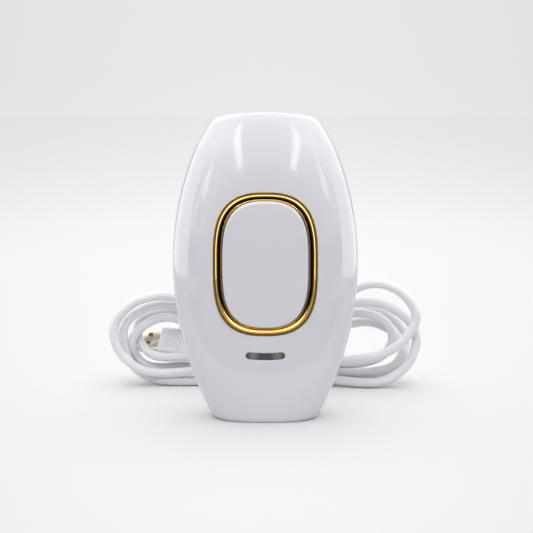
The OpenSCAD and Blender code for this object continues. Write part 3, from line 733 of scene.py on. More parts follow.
# %% spin the grip and its strain relief
grip_profile = [(19, 0), (19, 4.5), (19.15, 4.85), (19.5, 5), (22.6, 5)]
for i in range(5):
    start = 23.4 + 2 * i
    grip_profile += [(start, 5), (start + 0.2, 4.86), (start + 0.35, 4.6), (start + 0.75, 4.6),
                     (start + 0.9, 4.86), (start + 1.1, 5)]
grip_profile += [(33.6, 5), (34.4, 4.85), (34.8, 4.6), (35, 4.2), (35, 0)]
plug_grip = spin_round_y("power_plug_grip", grip_profile, 0, inlet_height, 64)
dress(smooth(plug_grip, 40), "plug_white", "plug_grip")

cord_radius = cord_diameter / mm / 2
relief_profile = [(34.9, 0), (34.9, 3.7)]
for i in range(5):
    start, radius = 35 + 2 * i, 3.75 - 0.24 * i
    relief_profile += [(start + 0.15, radius), (start + 1.1, radius - 0.05), (start + 1.25, radius - 0.2),
                       (start + 1.35, radius - 0.5), (start + 1.75, radius - 0.55),
                       (start + 1.95, radius - 0.3)]
relief_profile += [(45.1, cord_radius + 0.15), (45.3, cord_radius - 0.1), (45.3, 0)]
plug_relief = spin_round_y("power_plug_strain_relief", relief_profile, 0, inlet_height, 48)
dress(smooth(plug_relief, 40), "plug_white", "plug_strain_relief")

# %% [markdown]
# ## The USB plug
# The far end is a USB-A plug that rests in the left fold, tilted so that its wide face looks up at us.
# The shell is folded from thin nickel-plated sheet with two square latch holes in each wide face. Inside
# it lies a light tongue with four contact grooves, and the overmoulded grip has rounded edges and slanted
# grooves. All of it is built along its own X axis and then turned into place together.

# %% where the plug lies
usb_place = Matrix.Translation(Vector((-55.5, 72, 20)) * mm)
usb_turn = (Matrix.Rotation(math.radians(-12), 4, "Z") @ Matrix.Rotation(math.radians(3), 4, "Y")
            @ Matrix.Rotation(math.radians(45), 4, "X"))


def lay_usb(piece):
    piece.data.transform(usb_place @ usb_turn)
    return piece


# %% folded metal shell with its latch holes
usb_shell = rounded_block("usb_metal_shell", (-12, -6, -2.25), (2, 6, 2.25), 0.5)
combine(usb_shell, rounded_block("shell_room", (-13, -5.7, -1.95), (3, 5.7, 1.95), 0.3))
for face in (-1, 1):
    for side in (-1, 1):
        y = side * 2.6
        hole = block("latch_hole", (-6.4, y - 1.1, min(0, face * 5)), (-4.2, y + 1.1, max(0, face * 5)))
        combine(usb_shell, hole)
combine(usb_shell, block("fold_seam", (-12.5, -0.05, -2.6), (3, 0.05, -1.8)))
dress(lay_usb(smooth(usb_shell, 35)), "nickel", "usb_shell")

# %% tongue with four contact grooves
usb_tongue = rounded_block("usb_tongue", (-11.4, -5.6, -1.9), (1, 5.6, 0.1), 0.2, 2)
for y, length in ((-3.5, 8.6), (-1.05, 7.6), (1.05, 7.6), (3.5, 8.6)):
    combine(usb_tongue, block("contact_slot", (-11.6, y - 0.65, -0.12), (-10.8 + length, y + 0.65, 0.4)))
dress(lay_usb(smooth(usb_tongue, 35)), "usb_tongue", "usb_contacts")

# %% overmoulded grip with slanted grooves
usb_grip = rounded_block("usb_plug_grip", (0, -7.8, -3.9), (17, 7.8, 3.9), 1.5, 6)
combine(usb_grip, rounded_block("shell_socket", (-1, -6, -2.25), (1.9, 6, 2.25), 0.5))
slant_centre = Matrix.Translation(Vector((9, 0, 0)) * mm)
slant = slant_centre @ Matrix.Rotation(math.radians(-14), 4, "Z") @ slant_centre.inverted()
for face in (-1, 1):
    for i in range(6):
        groove_tool = rounded_block("groove", (4 + 1.9 * i, -6, 3.55), (4.7 + 1.9 * i, 6, 5), 0.15, 2)
        groove_tool.data.transform(slant)
        if face < 0:
            groove_tool.data.transform(Matrix.Rotation(math.pi, 4, "X"))
        combine(usb_grip, groove_tool)
dress(lay_usb(smooth(usb_grip, 35)), "plug_white", "usb_grip")

# %% ribbed strain relief behind the grip
usb_relief_profile = [(16.9, 0), (16.9, 3.6)]
for i in range(3):
    start, radius = 17 + 2 * i, 3.6 - 0.35 * i
    usb_relief_profile += [(start + 0.1, radius), (start + 1.2, radius - 0.05),
                           (start + 1.4, radius - 0.45), (start + 1.85, radius - 0.5)]
usb_relief_profile += [(23, cord_radius + 0.12), (23.1, cord_radius - 0.2), (23.1, 0)]
usb_relief = spin_round_y("usb_strain_relief_boot", usb_relief_profile, 0, 0, 40)
usb_relief.data.transform(Matrix.Rotation(math.radians(-90), 4, "Z"))
dress(lay_usb(smooth(merge_and_face_out(usb_relief), 40)), "plug_white", "usb_strain_relief")

# %% [markdown]
# ## The tie
# A flat plastic band holds the nine runs of cord together at the waist. A curve with a flat profile could
# make it too, but a rounded block with the bundle's room cut out of it gives softer corners with less
# work.

# %% wrap the tie round the waist
tie_half_width = 2.4
cord_tie = rounded_block("cord_tie", (-tie_half_width, 59.7, 0.35), (tie_half_width, 76.3, 16.6), 1.6, 5)
room = rounded_block("bundle_room", (-4, 60.45, 1.1), (4, 75.55, 15.9), 1.2, 4)
combine(cord_tie, room)
soften(cord_tie, 0.22 * mm, 2, 50)
dress(smooth(cord_tie, 40), "tie_white", "cable_tie")

dress(power_cord, "cord_white", "cord_lead", "cord_hank", "cord_tail")

# %% [markdown]
# ## Shared effects
# Three small effects come back in nearly every finish, so each is a node group that is built once. Fine
# grain is the texture that a mould leaves. Smudges are the soft patches where hands and handling change
# the gloss. Edge wear finds sharp outer edges, where a coating rubs thin first. The groups give out plain
# masks and heights, and each material decides what to do with them.

# %% build the node groups
def group(name, inputs, outputs):
    tree = bpy.data.node_groups.new(name, "ShaderNodeTree")
    for label, kind, value in inputs:
        socket = tree.interface.new_socket(name=label, in_out="INPUT", socket_type=kind)
        if value is not None:
            socket.default_value = value
    for label in outputs:
        tree.interface.new_socket(name=label, in_out="OUTPUT", socket_type="NodeSocketFloat")
    return tree, tree.nodes.new("NodeGroupInput"), tree.nodes.new("NodeGroupOutput")


def add_node(tree, kind, **settings):
    node = tree.nodes.new(kind)
    for key, value in settings.items():
        setattr(node, key, value)
    return node


def map_range(tree, source, low, high, to_low=0.0, to_high=1.0):
    node = add_node(tree, "ShaderNodeMapRange", interpolation_type="SMOOTHSTEP")
    for key, value in (("From Min", low), ("From Max", high), ("To Min", to_low), ("To Max", to_high)):
        node.inputs[key].default_value = value
    tree.links.new(source, node.inputs["Value"])
    return node.outputs["Result"]


def noise(tree, vector, scale, detail=3.0, roughness=0.55):
    node = add_node(tree, "ShaderNodeTexNoise")
    tree.links.new(vector, node.inputs["Vector"])
    if isinstance(scale, (int, float)):
        node.inputs["Scale"].default_value = scale
    else:
        tree.links.new(scale, node.inputs["Scale"])
    node.inputs["Detail"].default_value = detail
    node.inputs["Roughness"].default_value = roughness
    return node.outputs["Fac"]


def math_node(tree, operation, first, second):
    node = add_node(tree, "ShaderNodeMath", operation=operation)
    for place, value in ((0, first), (1, second)):
        if isinstance(value, (int, float)):
            node.inputs[place].default_value = value
        else:
            tree.links.new(value, node.inputs[place])
    return node.outputs[0]


vector_and_scale = [("Vector", "NodeSocketVector", None), ("Scale", "NodeSocketFloat", 900.0)]

grain_group, inlet, outlet = group("fine_grain", vector_and_scale, ["Height", "Tone"])
fine = noise(grain_group, inlet.outputs["Vector"], inlet.outputs["Scale"], 4.0)
broad = noise(grain_group, inlet.outputs["Vector"],
              math_node(grain_group, "MULTIPLY", inlet.outputs["Scale"], 0.06), 2.0)
grain_group.links.new(
    math_node(grain_group, "ADD", fine, math_node(grain_group, "MULTIPLY", broad, 0.6)),
    outlet.inputs["Height"])
grain_group.links.new(broad, outlet.inputs["Tone"])

smudge_group, inlet, outlet = group("handling_smudges", vector_and_scale, ["Mask"])
patches = map_range(
    smudge_group, noise(smudge_group, inlet.outputs["Vector"], inlet.outputs["Scale"], 5.0, 0.6), 0.42, 0.7)
hairs = add_node(smudge_group, "ShaderNodeTexWave", wave_type="BANDS", bands_direction="DIAGONAL")
hairs.inputs["Scale"].default_value = 260
hairs.inputs["Distortion"].default_value = 26
hairs.inputs["Detail"].default_value = 3
smudge_group.links.new(inlet.outputs["Vector"], hairs.inputs["Vector"])
fine_hairs = map_range(smudge_group, hairs.outputs["Fac"], 0.93, 1.0, 0.0, 0.35)
smudge_group.links.new(math_node(smudge_group, "MAXIMUM", patches, fine_hairs), outlet.inputs["Mask"])

wear_group, inlet, outlet = group(
    "edge_wear", [("Vector", "NodeSocketVector", None), ("Start", "NodeSocketFloat", 0.53),
                  ("Breakup", "NodeSocketFloat", 1500.0)], ["Mask"])
geometry = add_node(wear_group, "ShaderNodeNewGeometry")
breakup = noise(wear_group, inlet.outputs["Vector"], inlet.outputs["Breakup"], 4.0)
edge = math_node(wear_group, "SUBTRACT", geometry.outputs["Pointiness"], inlet.outputs["Start"])
ragged = math_node(wear_group, "MULTIPLY", edge, math_node(wear_group, "MULTIPLY", breakup, 24.0))
wear_group.links.new(map_range(wear_group, ragged, 0.0, 1.0), outlet.inputs["Mask"])
print("groups:", [tree.name for tree in bpy.data.node_groups])

# %% [markdown]
# ## The finishes
# One function makes a Principled material from a plain description: a colour, how much it varies, how
# rough it is and how far smudges change that, and how deep its grain is in millimetres. Everything that
# is the same all over a surface is set on the shader's own socket. Finishes with a pattern of their own,
# such as the circuit board, the copper windings or brushed metal, add it to what this function made.

# %% the general finish
def screen(red, green, blue):
    """Colour given as it looks on a screen, 0 to 255, turned into the shader's linear values."""
    def linear(value):
        value /= 255
        return value / 12.92 if value <= 0.04045 else ((value + 0.055) / 1.055) ** 2.4
    return (linear(red), linear(green), linear(blue), 1.0)


print("a middle grey on the screen is", round(screen(128, 128, 128)[0], 3), "to the shader")


def scaled(colour, factor):
    return tuple(min(1.0, part * factor) for part in colour[:3]) + (1.0,)


def mix_colour(tree, mask, first, second):
    node = add_node(tree, "ShaderNodeMix", data_type="RGBA")
    tree.links.new(mask, node.inputs["Factor"])
    for place, value in ((6, first), (7, second)):
        if isinstance(value, tuple):
            node.inputs[place].default_value = value
        else:
            tree.links.new(value, node.inputs[place])
    return node.outputs[2]


def make_finish(name, colour, roughness, metallic=0.0, shade=0.04, grain=900.0, depth=0.004, smudge=0.06,
                worn=None, **sockets):
    material = bpy.data.materials.new(name)
    material.use_nodes = True
    tree = material.node_tree
    shader = tree.nodes["Principled BSDF"]
    shader.inputs["Metallic"].default_value = metallic
    for key, value in sockets.items():
        shader.inputs[key.replace("_", " ").title().replace("Ior", "IOR")].default_value = value
    coordinates = add_node(tree, "ShaderNodeTexCoord")
    grain_node = add_node(tree, "ShaderNodeGroup", node_tree=grain_group)
    smudge_node = add_node(tree, "ShaderNodeGroup", node_tree=smudge_group)
    tree.links.new(coordinates.outputs["Object"], grain_node.inputs["Vector"])
    tree.links.new(coordinates.outputs["Object"], smudge_node.inputs["Vector"])
    grain_node.inputs["Scale"].default_value = grain
    smudge_node.inputs["Scale"].default_value = 45
    tone = map_range(tree, grain_node.outputs["Tone"], 0.3, 0.7)
    tint = mix_colour(tree, tone, scaled(colour, 1 - shade), scaled(colour, 1 + shade))
    if worn:
        wear_node = add_node(tree, "ShaderNodeGroup", node_tree=wear_group)
        tree.links.new(coordinates.outputs["Object"], wear_node.inputs["Vector"])
        tint = mix_colour(tree, wear_node.outputs["Mask"], tint, worn)
    tree.links.new(tint, shader.inputs["Base Color"])
    tree.links.new(map_range(tree, smudge_node.outputs["Mask"], 0, 1, roughness, roughness + smudge),
                   shader.inputs["Roughness"])
    bump = add_node(tree, "ShaderNodeBump")
    bump.inputs["Distance"].default_value = depth * mm
    tree.links.new(grain_node.outputs["Height"], bump.inputs["Height"])
    tree.links.new(bump.outputs["Normal"], shader.inputs["Normal"])
    finishes[name] = material
    print("finish:", name)
    return material, tree, shader, coordinates, bump


finishes = {}


def mask_over(made, mask, colour):
    """Lays a second colour over a finish where a mask says."""
    material, tree, shader, coordinates, bump = made
    under = shader.inputs["Base Color"].links[0].from_socket
    tree.links.new(mix_colour(tree, mask, under, colour), shader.inputs["Base Color"])


# %% white mouldings, smoked lens and soft plastics
body_white = screen(224, 222, 229)
make_finish("white_gloss", body_white, 0.07, shade=0.008, grain=500, depth=0.0012, smudge=0.05,
            coat_weight=0.35, coat_roughness=0.03, specular_ior_level=0.5)
make_finish("button_white", screen(223, 221, 228), 0.08, shade=0.008, grain=600, depth=0.0012, smudge=0.05,
            coat_weight=0.3, coat_roughness=0.03)
make_finish("cord_white", screen(232, 231, 235), 0.42, shade=0.02, grain=1500, depth=0.012, smudge=0.12)
make_finish("plug_white", screen(234, 234, 237), 0.36, shade=0.02, grain=1300, depth=0.012, smudge=0.12)
make_finish("tie_white", screen(216, 216, 219), 0.45, shade=0.04, grain=700, depth=0.02, smudge=0.1)
make_finish("head_grey", screen(176, 177, 181), 0.34, shade=0.03, grain=1800, depth=0.01, smudge=0.1,
            worn=screen(205, 206, 210))
make_finish("silicone", screen(96, 98, 102), 0.6, shade=0.06, grain=900, depth=0.02)
lens = make_finish("smoked_lens", screen(84, 82, 80), 0.12, shade=0.03, grain=700, depth=0.002)
material, tree, shader, coordinates, bump = lens
apart = add_node(tree, "ShaderNodeSeparateXYZ")
tree.links.new(coordinates.outputs["Object"], apart.inputs["Vector"])
sideways = math_node(tree, "ABSOLUTE", apart.outputs["X"], 0.0)
# painted reflections: two lighter patches on either side of the lens's middle
painted_reflection_patches = math_node(tree, "MULTIPLY", map_range(tree, sideways, 1.8 * mm, 5.2 * mm),
                       map_range(tree, sideways, 6.2 * mm, 8.2 * mm, 1.0, 0.0))
mask_over(lens, painted_reflection_patches, screen(124, 120, 118))
# painted highlight: a small light dot at the bottom middle of the lens
glint_place = (-0.6 * mm, -19.7 * mm, 30.35 * mm)
glint_distance = add_node(tree, "ShaderNodeVectorMath", operation="DISTANCE")
glint_distance.inputs[1].default_value = glint_place
tree.links.new(coordinates.outputs["Object"], glint_distance.inputs[0])
mask_over(lens, map_range(tree, glint_distance.outputs["Value"], 0.2 * mm, 0.5 * mm, 1.0, 0.0), screen(176, 170, 168))

# %% black and coloured mouldings inside
make_finish("carrier_black", screen(40, 40, 42), 0.62, shade=0.12, grain=900, depth=0.03,
            worn=screen(90, 90, 92))
make_finish("switch_black", screen(34, 34, 36), 0.5, shade=0.1, grain=1400, depth=0.015,
            worn=screen(80, 80, 82))
make_finish("plunger_red", screen(190, 52, 40), 0.42, shade=0.05, grain=1400, depth=0.01)
make_finish("chip_black", screen(30, 30, 32), 0.55, shade=0.12, grain=2400, depth=0.012)
make_finish("fan_black", screen(32, 32, 34), 0.46, shade=0.1, grain=1500, depth=0.015,
            worn=screen(84, 84, 86))
make_finish("jack_black", screen(36, 36, 38), 0.48, shade=0.1, grain=1500, depth=0.012,
            worn=screen(90, 90, 92))
make_finish("ferrite", screen(62, 61, 60), 0.7, shade=0.18, grain=2200, depth=0.03,
            worn=screen(104, 102, 99))
make_finish("ceramic_holder", screen(232, 224, 206), 0.72, shade=0.05, grain=1600, depth=0.03)
make_finish("sensor_epoxy", screen(30, 62, 46), 0.22, shade=0.1, grain=500, depth=0.02)
make_finish("led_body", screen(244, 236, 180), 0.3, shade=0.05, grain=1200, depth=0.01)
make_finish("usb_tongue", screen(222, 218, 206), 0.45, shade=0.04, grain=1300, depth=0.01)
make_finish("wire_red", screen(186, 44, 38), 0.45, shade=0.06, grain=1200, depth=0.012)
make_finish("wire_black", screen(34, 34, 36), 0.45, shade=0.1, grain=1200, depth=0.012)

# %% metals
gold = make_finish("gold", screen(246, 205, 124), 0.06, metallic=1.0, shade=0.03, grain=300, depth=0.0006,
                   smudge=0.05)
material, tree, shader, coordinates, bump = gold
# painted shade: the groove's gold is darkened almost to black where the groove mask says
groove_painted_shade = add_node(tree, "ShaderNodeAttribute", attribute_name="groove")
mask_over(gold, groove_painted_shade.outputs["Fac"], screen(44, 30, 15))
make_finish("contact_metal", screen(206, 207, 211), 0.16, metallic=1.0, shade=0.04, grain=900, depth=0.002,
            smudge=0.14)
make_finish("nickel", screen(205, 196, 182), 0.2, metallic=1.0, shade=0.05, grain=900, depth=0.003,
            smudge=0.16)
make_finish("polished_aluminium", screen(228, 229, 232), 0.07, metallic=1.0, shade=0.02, grain=400,
            depth=0.002)
make_finish("screw_steel", screen(176, 177, 181), 0.28, metallic=1.0, shade=0.08, grain=1200, depth=0.006,
            smudge=0.18, worn=screen(214, 214, 216))


def brushed(name, colour, roughness, axis, depth=0.01):
    """Metal with fine lines along one axis: the grain is squeezed across it."""
    made = make_finish(name, colour, roughness, metallic=1.0, shade=0.05, grain=600, depth=depth,
                       smudge=0.12, worn=scaled(colour, 1.25))
    material, tree, shader, coordinates, bump = made
    stretch = add_node(tree, "ShaderNodeMapping")
    stretch.inputs["Scale"].default_value = [0.03 if i == axis else 1 for i in range(3)]
    tree.links.new(coordinates.outputs["Object"], stretch.inputs["Vector"])
    lines = noise(tree, stretch.outputs["Vector"], 6000, 2.0)
    tree.links.new(lines, bump.inputs["Height"])


brushed("raw_aluminium", screen(188, 190, 194), 0.38, 2)


# %% wound copper: rings of wire across one axis, with painted shade in the gaps between turns
def wound(name, colour, axis, wire):
    made = make_finish(name, colour, 0.34, metallic=0.7, shade=0.08, grain=800, depth=0.05, smudge=0.12)
    material, tree, shader, coordinates, bump = made
    turns = add_node(tree, "ShaderNodeTexWave", wave_type="BANDS", bands_direction="XYZ"[axis],
                     wave_profile="SIN")
    turns.inputs["Scale"].default_value = 0.314 / (wire * mm)
    turns.inputs["Distortion"].default_value = 0.4
    tree.links.new(coordinates.outputs["Object"], turns.inputs["Vector"])
    tree.links.new(turns.outputs["Fac"], bump.inputs["Height"])
    # painted shade: the gaps between turns are darkened
    painted_gap_shade = map_range(tree, turns.outputs["Fac"], 0.0, 0.45, 1.0, 0.0)
    mask_over(made, painted_gap_shade, scaled(colour, 0.35))


wound("copper", screen(196, 118, 66), 1, 0.4)
wound("coil_wax", screen(150, 92, 54), 2, 0.35)
wound("winding_tape", screen(214, 164, 60), 0, 2.4)

# %% circuit board: mask over copper traces, with bare pads
board = make_finish("board_green", screen(26, 96, 52), 0.32, shade=0.05, grain=900, depth=0.02)
material, tree, shader, coordinates, bump = board
turned = add_node(tree, "ShaderNodeMapping")
turned.inputs["Rotation"].default_value = (math.radians(90), 0, 0)
tree.links.new(coordinates.outputs["Object"], turned.inputs["Vector"])
traces = add_node(tree, "ShaderNodeTexBrick", offset=0.5, squash=1.6, squash_frequency=3)
for key, value in (("Scale", 120.0), ("Mortar Size", 0.035), ("Mortar Smooth", 0.1), ("Brick Width", 0.9),
                   ("Row Height", 0.28)):
    traces.inputs[key].default_value = value
tree.links.new(turned.outputs["Vector"], traces.inputs["Vector"])
mask_over(board, traces.outputs["Fac"], screen(64, 142, 74))
pads = add_node(tree, "ShaderNodeTexVoronoi", feature="F1")
pads.inputs["Scale"].default_value = 260
pads.inputs["Randomness"].default_value = 0.75
tree.links.new(turned.outputs["Vector"], pads.inputs["Vector"])
mask_over(board, map_range(tree, pads.outputs["Distance"], 0.14, 0.19, 1.0, 0.0), screen(206, 204, 190))

# %% capacitor sleeve: dark shrink film with a pale stripe down one side
sleeve = make_finish("capacitor_sleeve", screen(34, 40, 74), 0.24, shade=0.06, grain=400, depth=0.01)
material, tree, shader, coordinates, bump = sleeve
apart = add_node(tree, "ShaderNodeSeparateXYZ")
tree.links.new(coordinates.outputs["Object"], apart.inputs["Vector"])
outward = math_node(tree, "ABSOLUTE", apart.outputs["X"], 0.0)
mask_over(sleeve, map_range(tree, outward, 16.6 * mm, 16.9 * mm), screen(196, 200, 208))
mask_over(sleeve, map_range(tree, apart.outputs["Z"], 99.9 * mm, 100.05 * mm), screen(186, 188, 192))


# %% clear parts: lamp tube, filter glass and light guide
def make_clear(name, colour, roughness, clearness, **sockets):
    made = make_finish(name, colour, roughness, shade=0.01, grain=300, depth=0.0004, smudge=0.03, **sockets)
    material, tree, shader, coordinates, bump = made
    shader.inputs["Transmission Weight"].default_value = clearness
    shader.inputs["IOR"].default_value = 1.47


make_clear("lamp_glass", (0.93, 0.96, 1.0, 1.0), 0.02, 0.92)
make_clear("filter_glass", (0.96, 0.86, 0.58, 1.0), 0.03, 0.85, coat_weight=0.5)
make_clear("clear_guide", (0.92, 0.95, 0.97, 1.0), 0.06, 0.8)

# %% put every finish on its pieces
for piece, slot_name in new_pieces.items():
    piece.data.materials.clear()
    piece.data.materials.append(finishes[slot_name])
slot_of_node = {row["node"]: row["material_slot"] for row in frame["record"]["subparts"]}
for node_name, node in frame["nodes"].items():
    chosen = finishes[slot_of_node[node_name]]
    if not node.material_slots:
        node.data.materials.append(chosen)
    for place in node.material_slots:
        place.material = chosen
print("finishes:", len(finishes), "on", len(new_pieces), "new pieces and", len(frame["nodes"]),
      "frame nodes")

# %% [markdown]
# ## The studio
# The set is a light tent: a white floor, a bright soft ceiling and pale walls that fade a little greyer
# upwards. Glossy plastic and gold mirror the room, so the room matters more than any single lamp. The
# front of the tent is open, and the dark room beyond it shows in the middle of the body and in the ring.
# Two rows of lamps in its ceiling draw the broken streaks at the top of the body. All of that stands on
# cards that only reflections can see.

# %% helpers for fades in the floor and in the world
def tent_fade(tree, height, stops):
    """Grey levels by height of direction, -1 down to 1 up: each stop is (height, level)."""
    low, high = stops[0][0], stops[-1][0]
    across = add_node(tree, "ShaderNodeMapRange")
    across.inputs["From Min"].default_value = low
    across.inputs["From Max"].default_value = high
    tree.links.new(height, across.inputs["Value"])
    ramp = add_node(tree, "ShaderNodeValToRGB")
    points = ramp.color_ramp.elements
    while len(points) < len(stops):
        points.new(0.5)
    top_level = max(level for place, level in stops)
    for point, (place, level) in zip(points, stops):
        point.position = (place - low) / (high - low)
        share = level / top_level
        point.color = (share * 0.996, share * 0.999, share, 1)
    tree.links.new(across.outputs["Result"], ramp.inputs["Fac"])
    scaled_up = add_node(tree, "ShaderNodeVectorMath", operation="SCALE")
    scaled_up.inputs["Scale"].default_value = top_level
    tree.links.new(ramp.outputs["Color"], scaled_up.inputs[0])
    return scaled_up.outputs["Vector"]


def dim(tree, colour, factor):
    node = add_node(tree, "ShaderNodeVectorMath", operation="SCALE")
    tree.links.new(colour, node.inputs[0])
    tree.links.new(factor, node.inputs["Scale"])
    return node.outputs["Vector"]


def corner_shade(tree, sideways):
    """Shade towards the tent's side walls, up to a limit: light in the world, painted shade on the floor.
    """
    squared_side = math_node(tree, "MINIMUM", math_node(tree, "MULTIPLY", sideways, sideways), 0.08)
    return math_node(tree, "SUBTRACT", 1.0, math_node(tree, "MULTIPLY", squared_side, 1.1))


print("fades ready: by height with", tent_fade.__name__, "and by side with", corner_shade.__name__)


# %% floor with painted shade: paler near the tent's mouth than far behind the handset, darker towards the side walls
tent_mouth = (0, -0.55, 0.15)
deselect_all()
bpy.ops.mesh.primitive_plane_add(size=60, location=(0, 0, -0.03 * mm))
floor = name_it("studio_floor")
floor_paint = bpy.data.materials.new("floor_paint")
floor_paint.use_nodes = True
paint_tree = floor_paint.node_tree
floor_shader = paint_tree.nodes["Principled BSDF"]
floor_shader.inputs["Roughness"].default_value = 0.8
floor_shader.inputs["Specular IOR Level"].default_value = 0
on_floor = add_node(paint_tree, "ShaderNodeTexCoord")
from_mouth = add_node(paint_tree, "ShaderNodeVectorMath", operation="SUBTRACT")
from_mouth.inputs[1].default_value = tent_mouth
towards = add_node(paint_tree, "ShaderNodeVectorMath", operation="NORMALIZE")
paint_tree.links.new(on_floor.outputs["Object"], from_mouth.inputs[0])
paint_tree.links.new(from_mouth.outputs["Vector"], towards.inputs[0])
apart = add_node(paint_tree, "ShaderNodeSeparateXYZ")
paint_tree.links.new(towards.outputs["Vector"], apart.inputs["Vector"])
# painted shade: the floor's colour fades by direction from the tent's mouth, as light falls off across a
# tent floor
floor_painted_level = tent_fade(paint_tree, apart.outputs["Z"], [
    (-0.4, 0.89), (-0.3, 0.92), (-0.2, 0.955), (-0.13, 0.96), (-0.1, 0.93), (-0.075, 0.885), (-0.05, 0.845),
    (-0.02, 0.81), (0.0, 0.8)])
# painted shade for bounce light only: in front of the handset the floor is dark to every ray but the
# camera's, so less light comes back onto the body's front
floor_spot = add_node(paint_tree, "ShaderNodeSeparateXYZ")
paint_tree.links.new(on_floor.outputs["Object"], floor_spot.inputs["Vector"])
front_bounce_shade = map_range(paint_tree, floor_spot.outputs["Y"], -0.24, -0.17, 0.12, 1.0)
floor_path = add_node(paint_tree, "ShaderNodeLightPath")
bounce_only_shade = math_node(paint_tree, "MAXIMUM", front_bounce_shade, floor_path.outputs["Is Camera Ray"])
floor_shade = math_node(paint_tree, "MULTIPLY", corner_shade(paint_tree, apart.outputs["X"]), bounce_only_shade)
paint_tree.links.new(dim(paint_tree, floor_painted_level, floor_shade), floor_shader.inputs["Base Color"])
floor.data.materials.append(floor_paint)
print("floor:", floor.dimensions.x, "m wide")

# %% walls and ceiling as the world's light
scene = bpy.context.scene
scene.view_settings.view_transform = "Standard"
world = bpy.data.worlds.new("light_tent")
scene.world = world
world.use_nodes = True
sky = world.node_tree
background = sky.nodes["Background"]
direction = add_node(sky, "ShaderNodeTexCoord")
split = add_node(sky, "ShaderNodeSeparateXYZ")
sky.links.new(direction.outputs["Generated"], split.inputs["Vector"])


def mix_by(mask, first, second):
    node = add_node(sky, "ShaderNodeMix", data_type="RGBA")
    sky.links.new(mask, node.inputs["Factor"])
    sky.links.new(first, node.inputs[6])
    sky.links.new(second, node.inputs[7])
    return node.outputs[2]


seen = dim(sky, tent_fade(sky, split.outputs["Z"], [
    (0.0, 0.823), (0.03, 0.812), (0.09, 0.806), (0.6, 0.8)]), corner_shade(sky, split.outputs["X"]))
front_gap = map_range(sky, split.outputs["Y"], -1.0, -0.1, 0.7, 1.0)
lighting = dim(sky, tent_fade(sky, split.outputs["Z"], [
    (0.0, 0.57), (0.5, 0.52), (0.7, 0.6), (0.82, 1.7), (1.0, 1.78)]), front_gap)
mirrored = tent_fade(sky, split.outputs["Z"], [
    (0.0, 0.5), (0.15, 0.7), (0.22, 0.9), (0.3, 1.6), (0.42, 3.0), (0.7, 2.4), (1.0, 1.6)])
path = add_node(sky, "ShaderNodeLightPath")
sky.links.new(
    mix_by(path.outputs["Is Camera Ray"], mix_by(path.outputs["Is Glossy Ray"], lighting, mirrored), seen),
    background.inputs["Color"])
background.inputs["Strength"].default_value = 1.0
print("world:", world.name)


# %% cards that only reflections see
def reflection_card(name, corners, level, place=(0, 0, 0)):
    """Flat glowing or dark shape that shows only in glossy surfaces."""
    mesh = bpy.data.meshes.new(name)
    mesh.from_pydata(corners, [], [range(len(corners))])
    card = bpy.data.objects.new(name, mesh)
    scene.collection.objects.link(card)
    card.location = place
    card.visible_camera = False
    card.visible_diffuse = False
    card.visible_shadow = False
    card.visible_transmission = False
    glow = bpy.data.materials.new(name + "_glow")
    glow.use_nodes = True
    shader = glow.node_tree.nodes["Principled BSDF"]
    shader.inputs["Base Color"].default_value = (0, 0, 0, 1)
    shader.inputs["Specular IOR Level"].default_value = 0
    shader.inputs["Roughness"].default_value = 1
    shader.inputs["Emission Color"].default_value = (1, 1, 1, 1)
    shader.inputs["Emission Strength"].default_value = level
    mesh.materials.append(glow)
    print("card:", name, "at level", level)


def arched(half_width, bottom, shoulder, rise, steps=24):
    arch = [(half_width * math.cos(i / steps * math.pi), 0, shoulder + rise * math.sin(i / steps * math.pi))
            for i in range(steps + 1)]
    return [(half_width, 0, bottom)] + arch + [(-half_width, 0, bottom)]


def towards_at(azimuth, elevation, distance=1.2):
    """Place seen from the body at an angle from straight ahead and a height angle."""
    side, up = math.radians(azimuth), math.radians(elevation)
    away = Vector((math.sin(side) * math.cos(up), -math.cos(side) * math.cos(up), math.sin(up)))
    return away * distance + Vector((0, 0, 0.1))


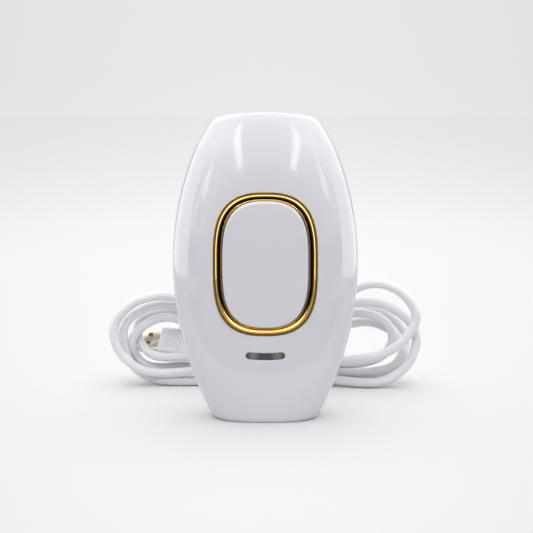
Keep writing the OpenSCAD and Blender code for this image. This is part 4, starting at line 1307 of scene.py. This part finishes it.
opening_half_width = 0.235
opening_front = -0.3
dark_level = 0.14
reflection_card(
    "tent_opening", arched(opening_half_width, 0.001, 0.12, 0.055), dark_level, (0, opening_front, 0))
reflection_card("dark_table_end", [
    (-opening_half_width, opening_front, 0), (opening_half_width, opening_front, 0),
    (opening_half_width, -0.06, 0), (-opening_half_width, -0.06, 0)], dark_level, (0, 0, 0.0006))

bar_count = 9
bar_start = 1.0
bar_spacing = 0.135
bar_breadth = 0.085
bar_height = 0.62
wall_corners = [(0, -0.15, 0.001), (0, 0.4, 0.001), (0, 0.4, 0.6), (0, -0.15, 0.6)]
side_lamp_corners = [(46, 9), (54, 9), (52, 17), (44, 17)]
tent_edge_corners = [(39, 26), (66, 1), (69, 1), (41, 26)]
for side in (-1, 1):
    inner = side * (0.44 + 0.03 * side)
    outer = side * (0.6 + 0.04 * side)
    for i in range(bar_count):
        near = bar_start + bar_spacing * i
        far = near + bar_breadth
        reflection_card(
            "lamp_bar", [(inner, -near, 0), (outer, -near, 0), (outer, -far, 0), (inner, -far, 0)],
            8.0, (0, 0, bar_height))
    reflection_card("side_wall", wall_corners, 2.4, (side * 0.4, 0, 0))
    reflection_card(
        "side_lamp", [towards_at(side * turn, height) for turn, height in side_lamp_corners], 3.0)
    reflection_card(
        "tent_edge", [towards_at(side * turn, height) for turn, height in tent_edge_corners], 3.2)

# %% soft key light above the camera, kept off the floor
key_data = bpy.data.lights.new("key_panel", "AREA")
key_data.shape = "RECTANGLE"
key_data.size = 0.3
key_data.size_y = 0.2
key_data.energy = 0.9
key_light = bpy.data.objects.new("key_panel", key_data)
scene.collection.objects.link(key_light)
key_light.location = (0, -0.3, 0.42)
key_light.rotation_euler = (math.radians(40), 0, 0)
key_light.visible_glossy = False
key_light.visible_camera = False
not_lit = bpy.data.collections.new("kept_dark")
not_lit.objects.link(floor)
key_light.light_linking.receiver_collection = not_lit
not_lit.collection_objects[0].light_linking.link_state = "EXCLUDE"
print("key panel:", key_data.energy, "W, floor left out")

# %% [markdown]
# ## The last update
# The view layer is updated once more at the end.

# %% last update
bpy.context.view_layer.update()
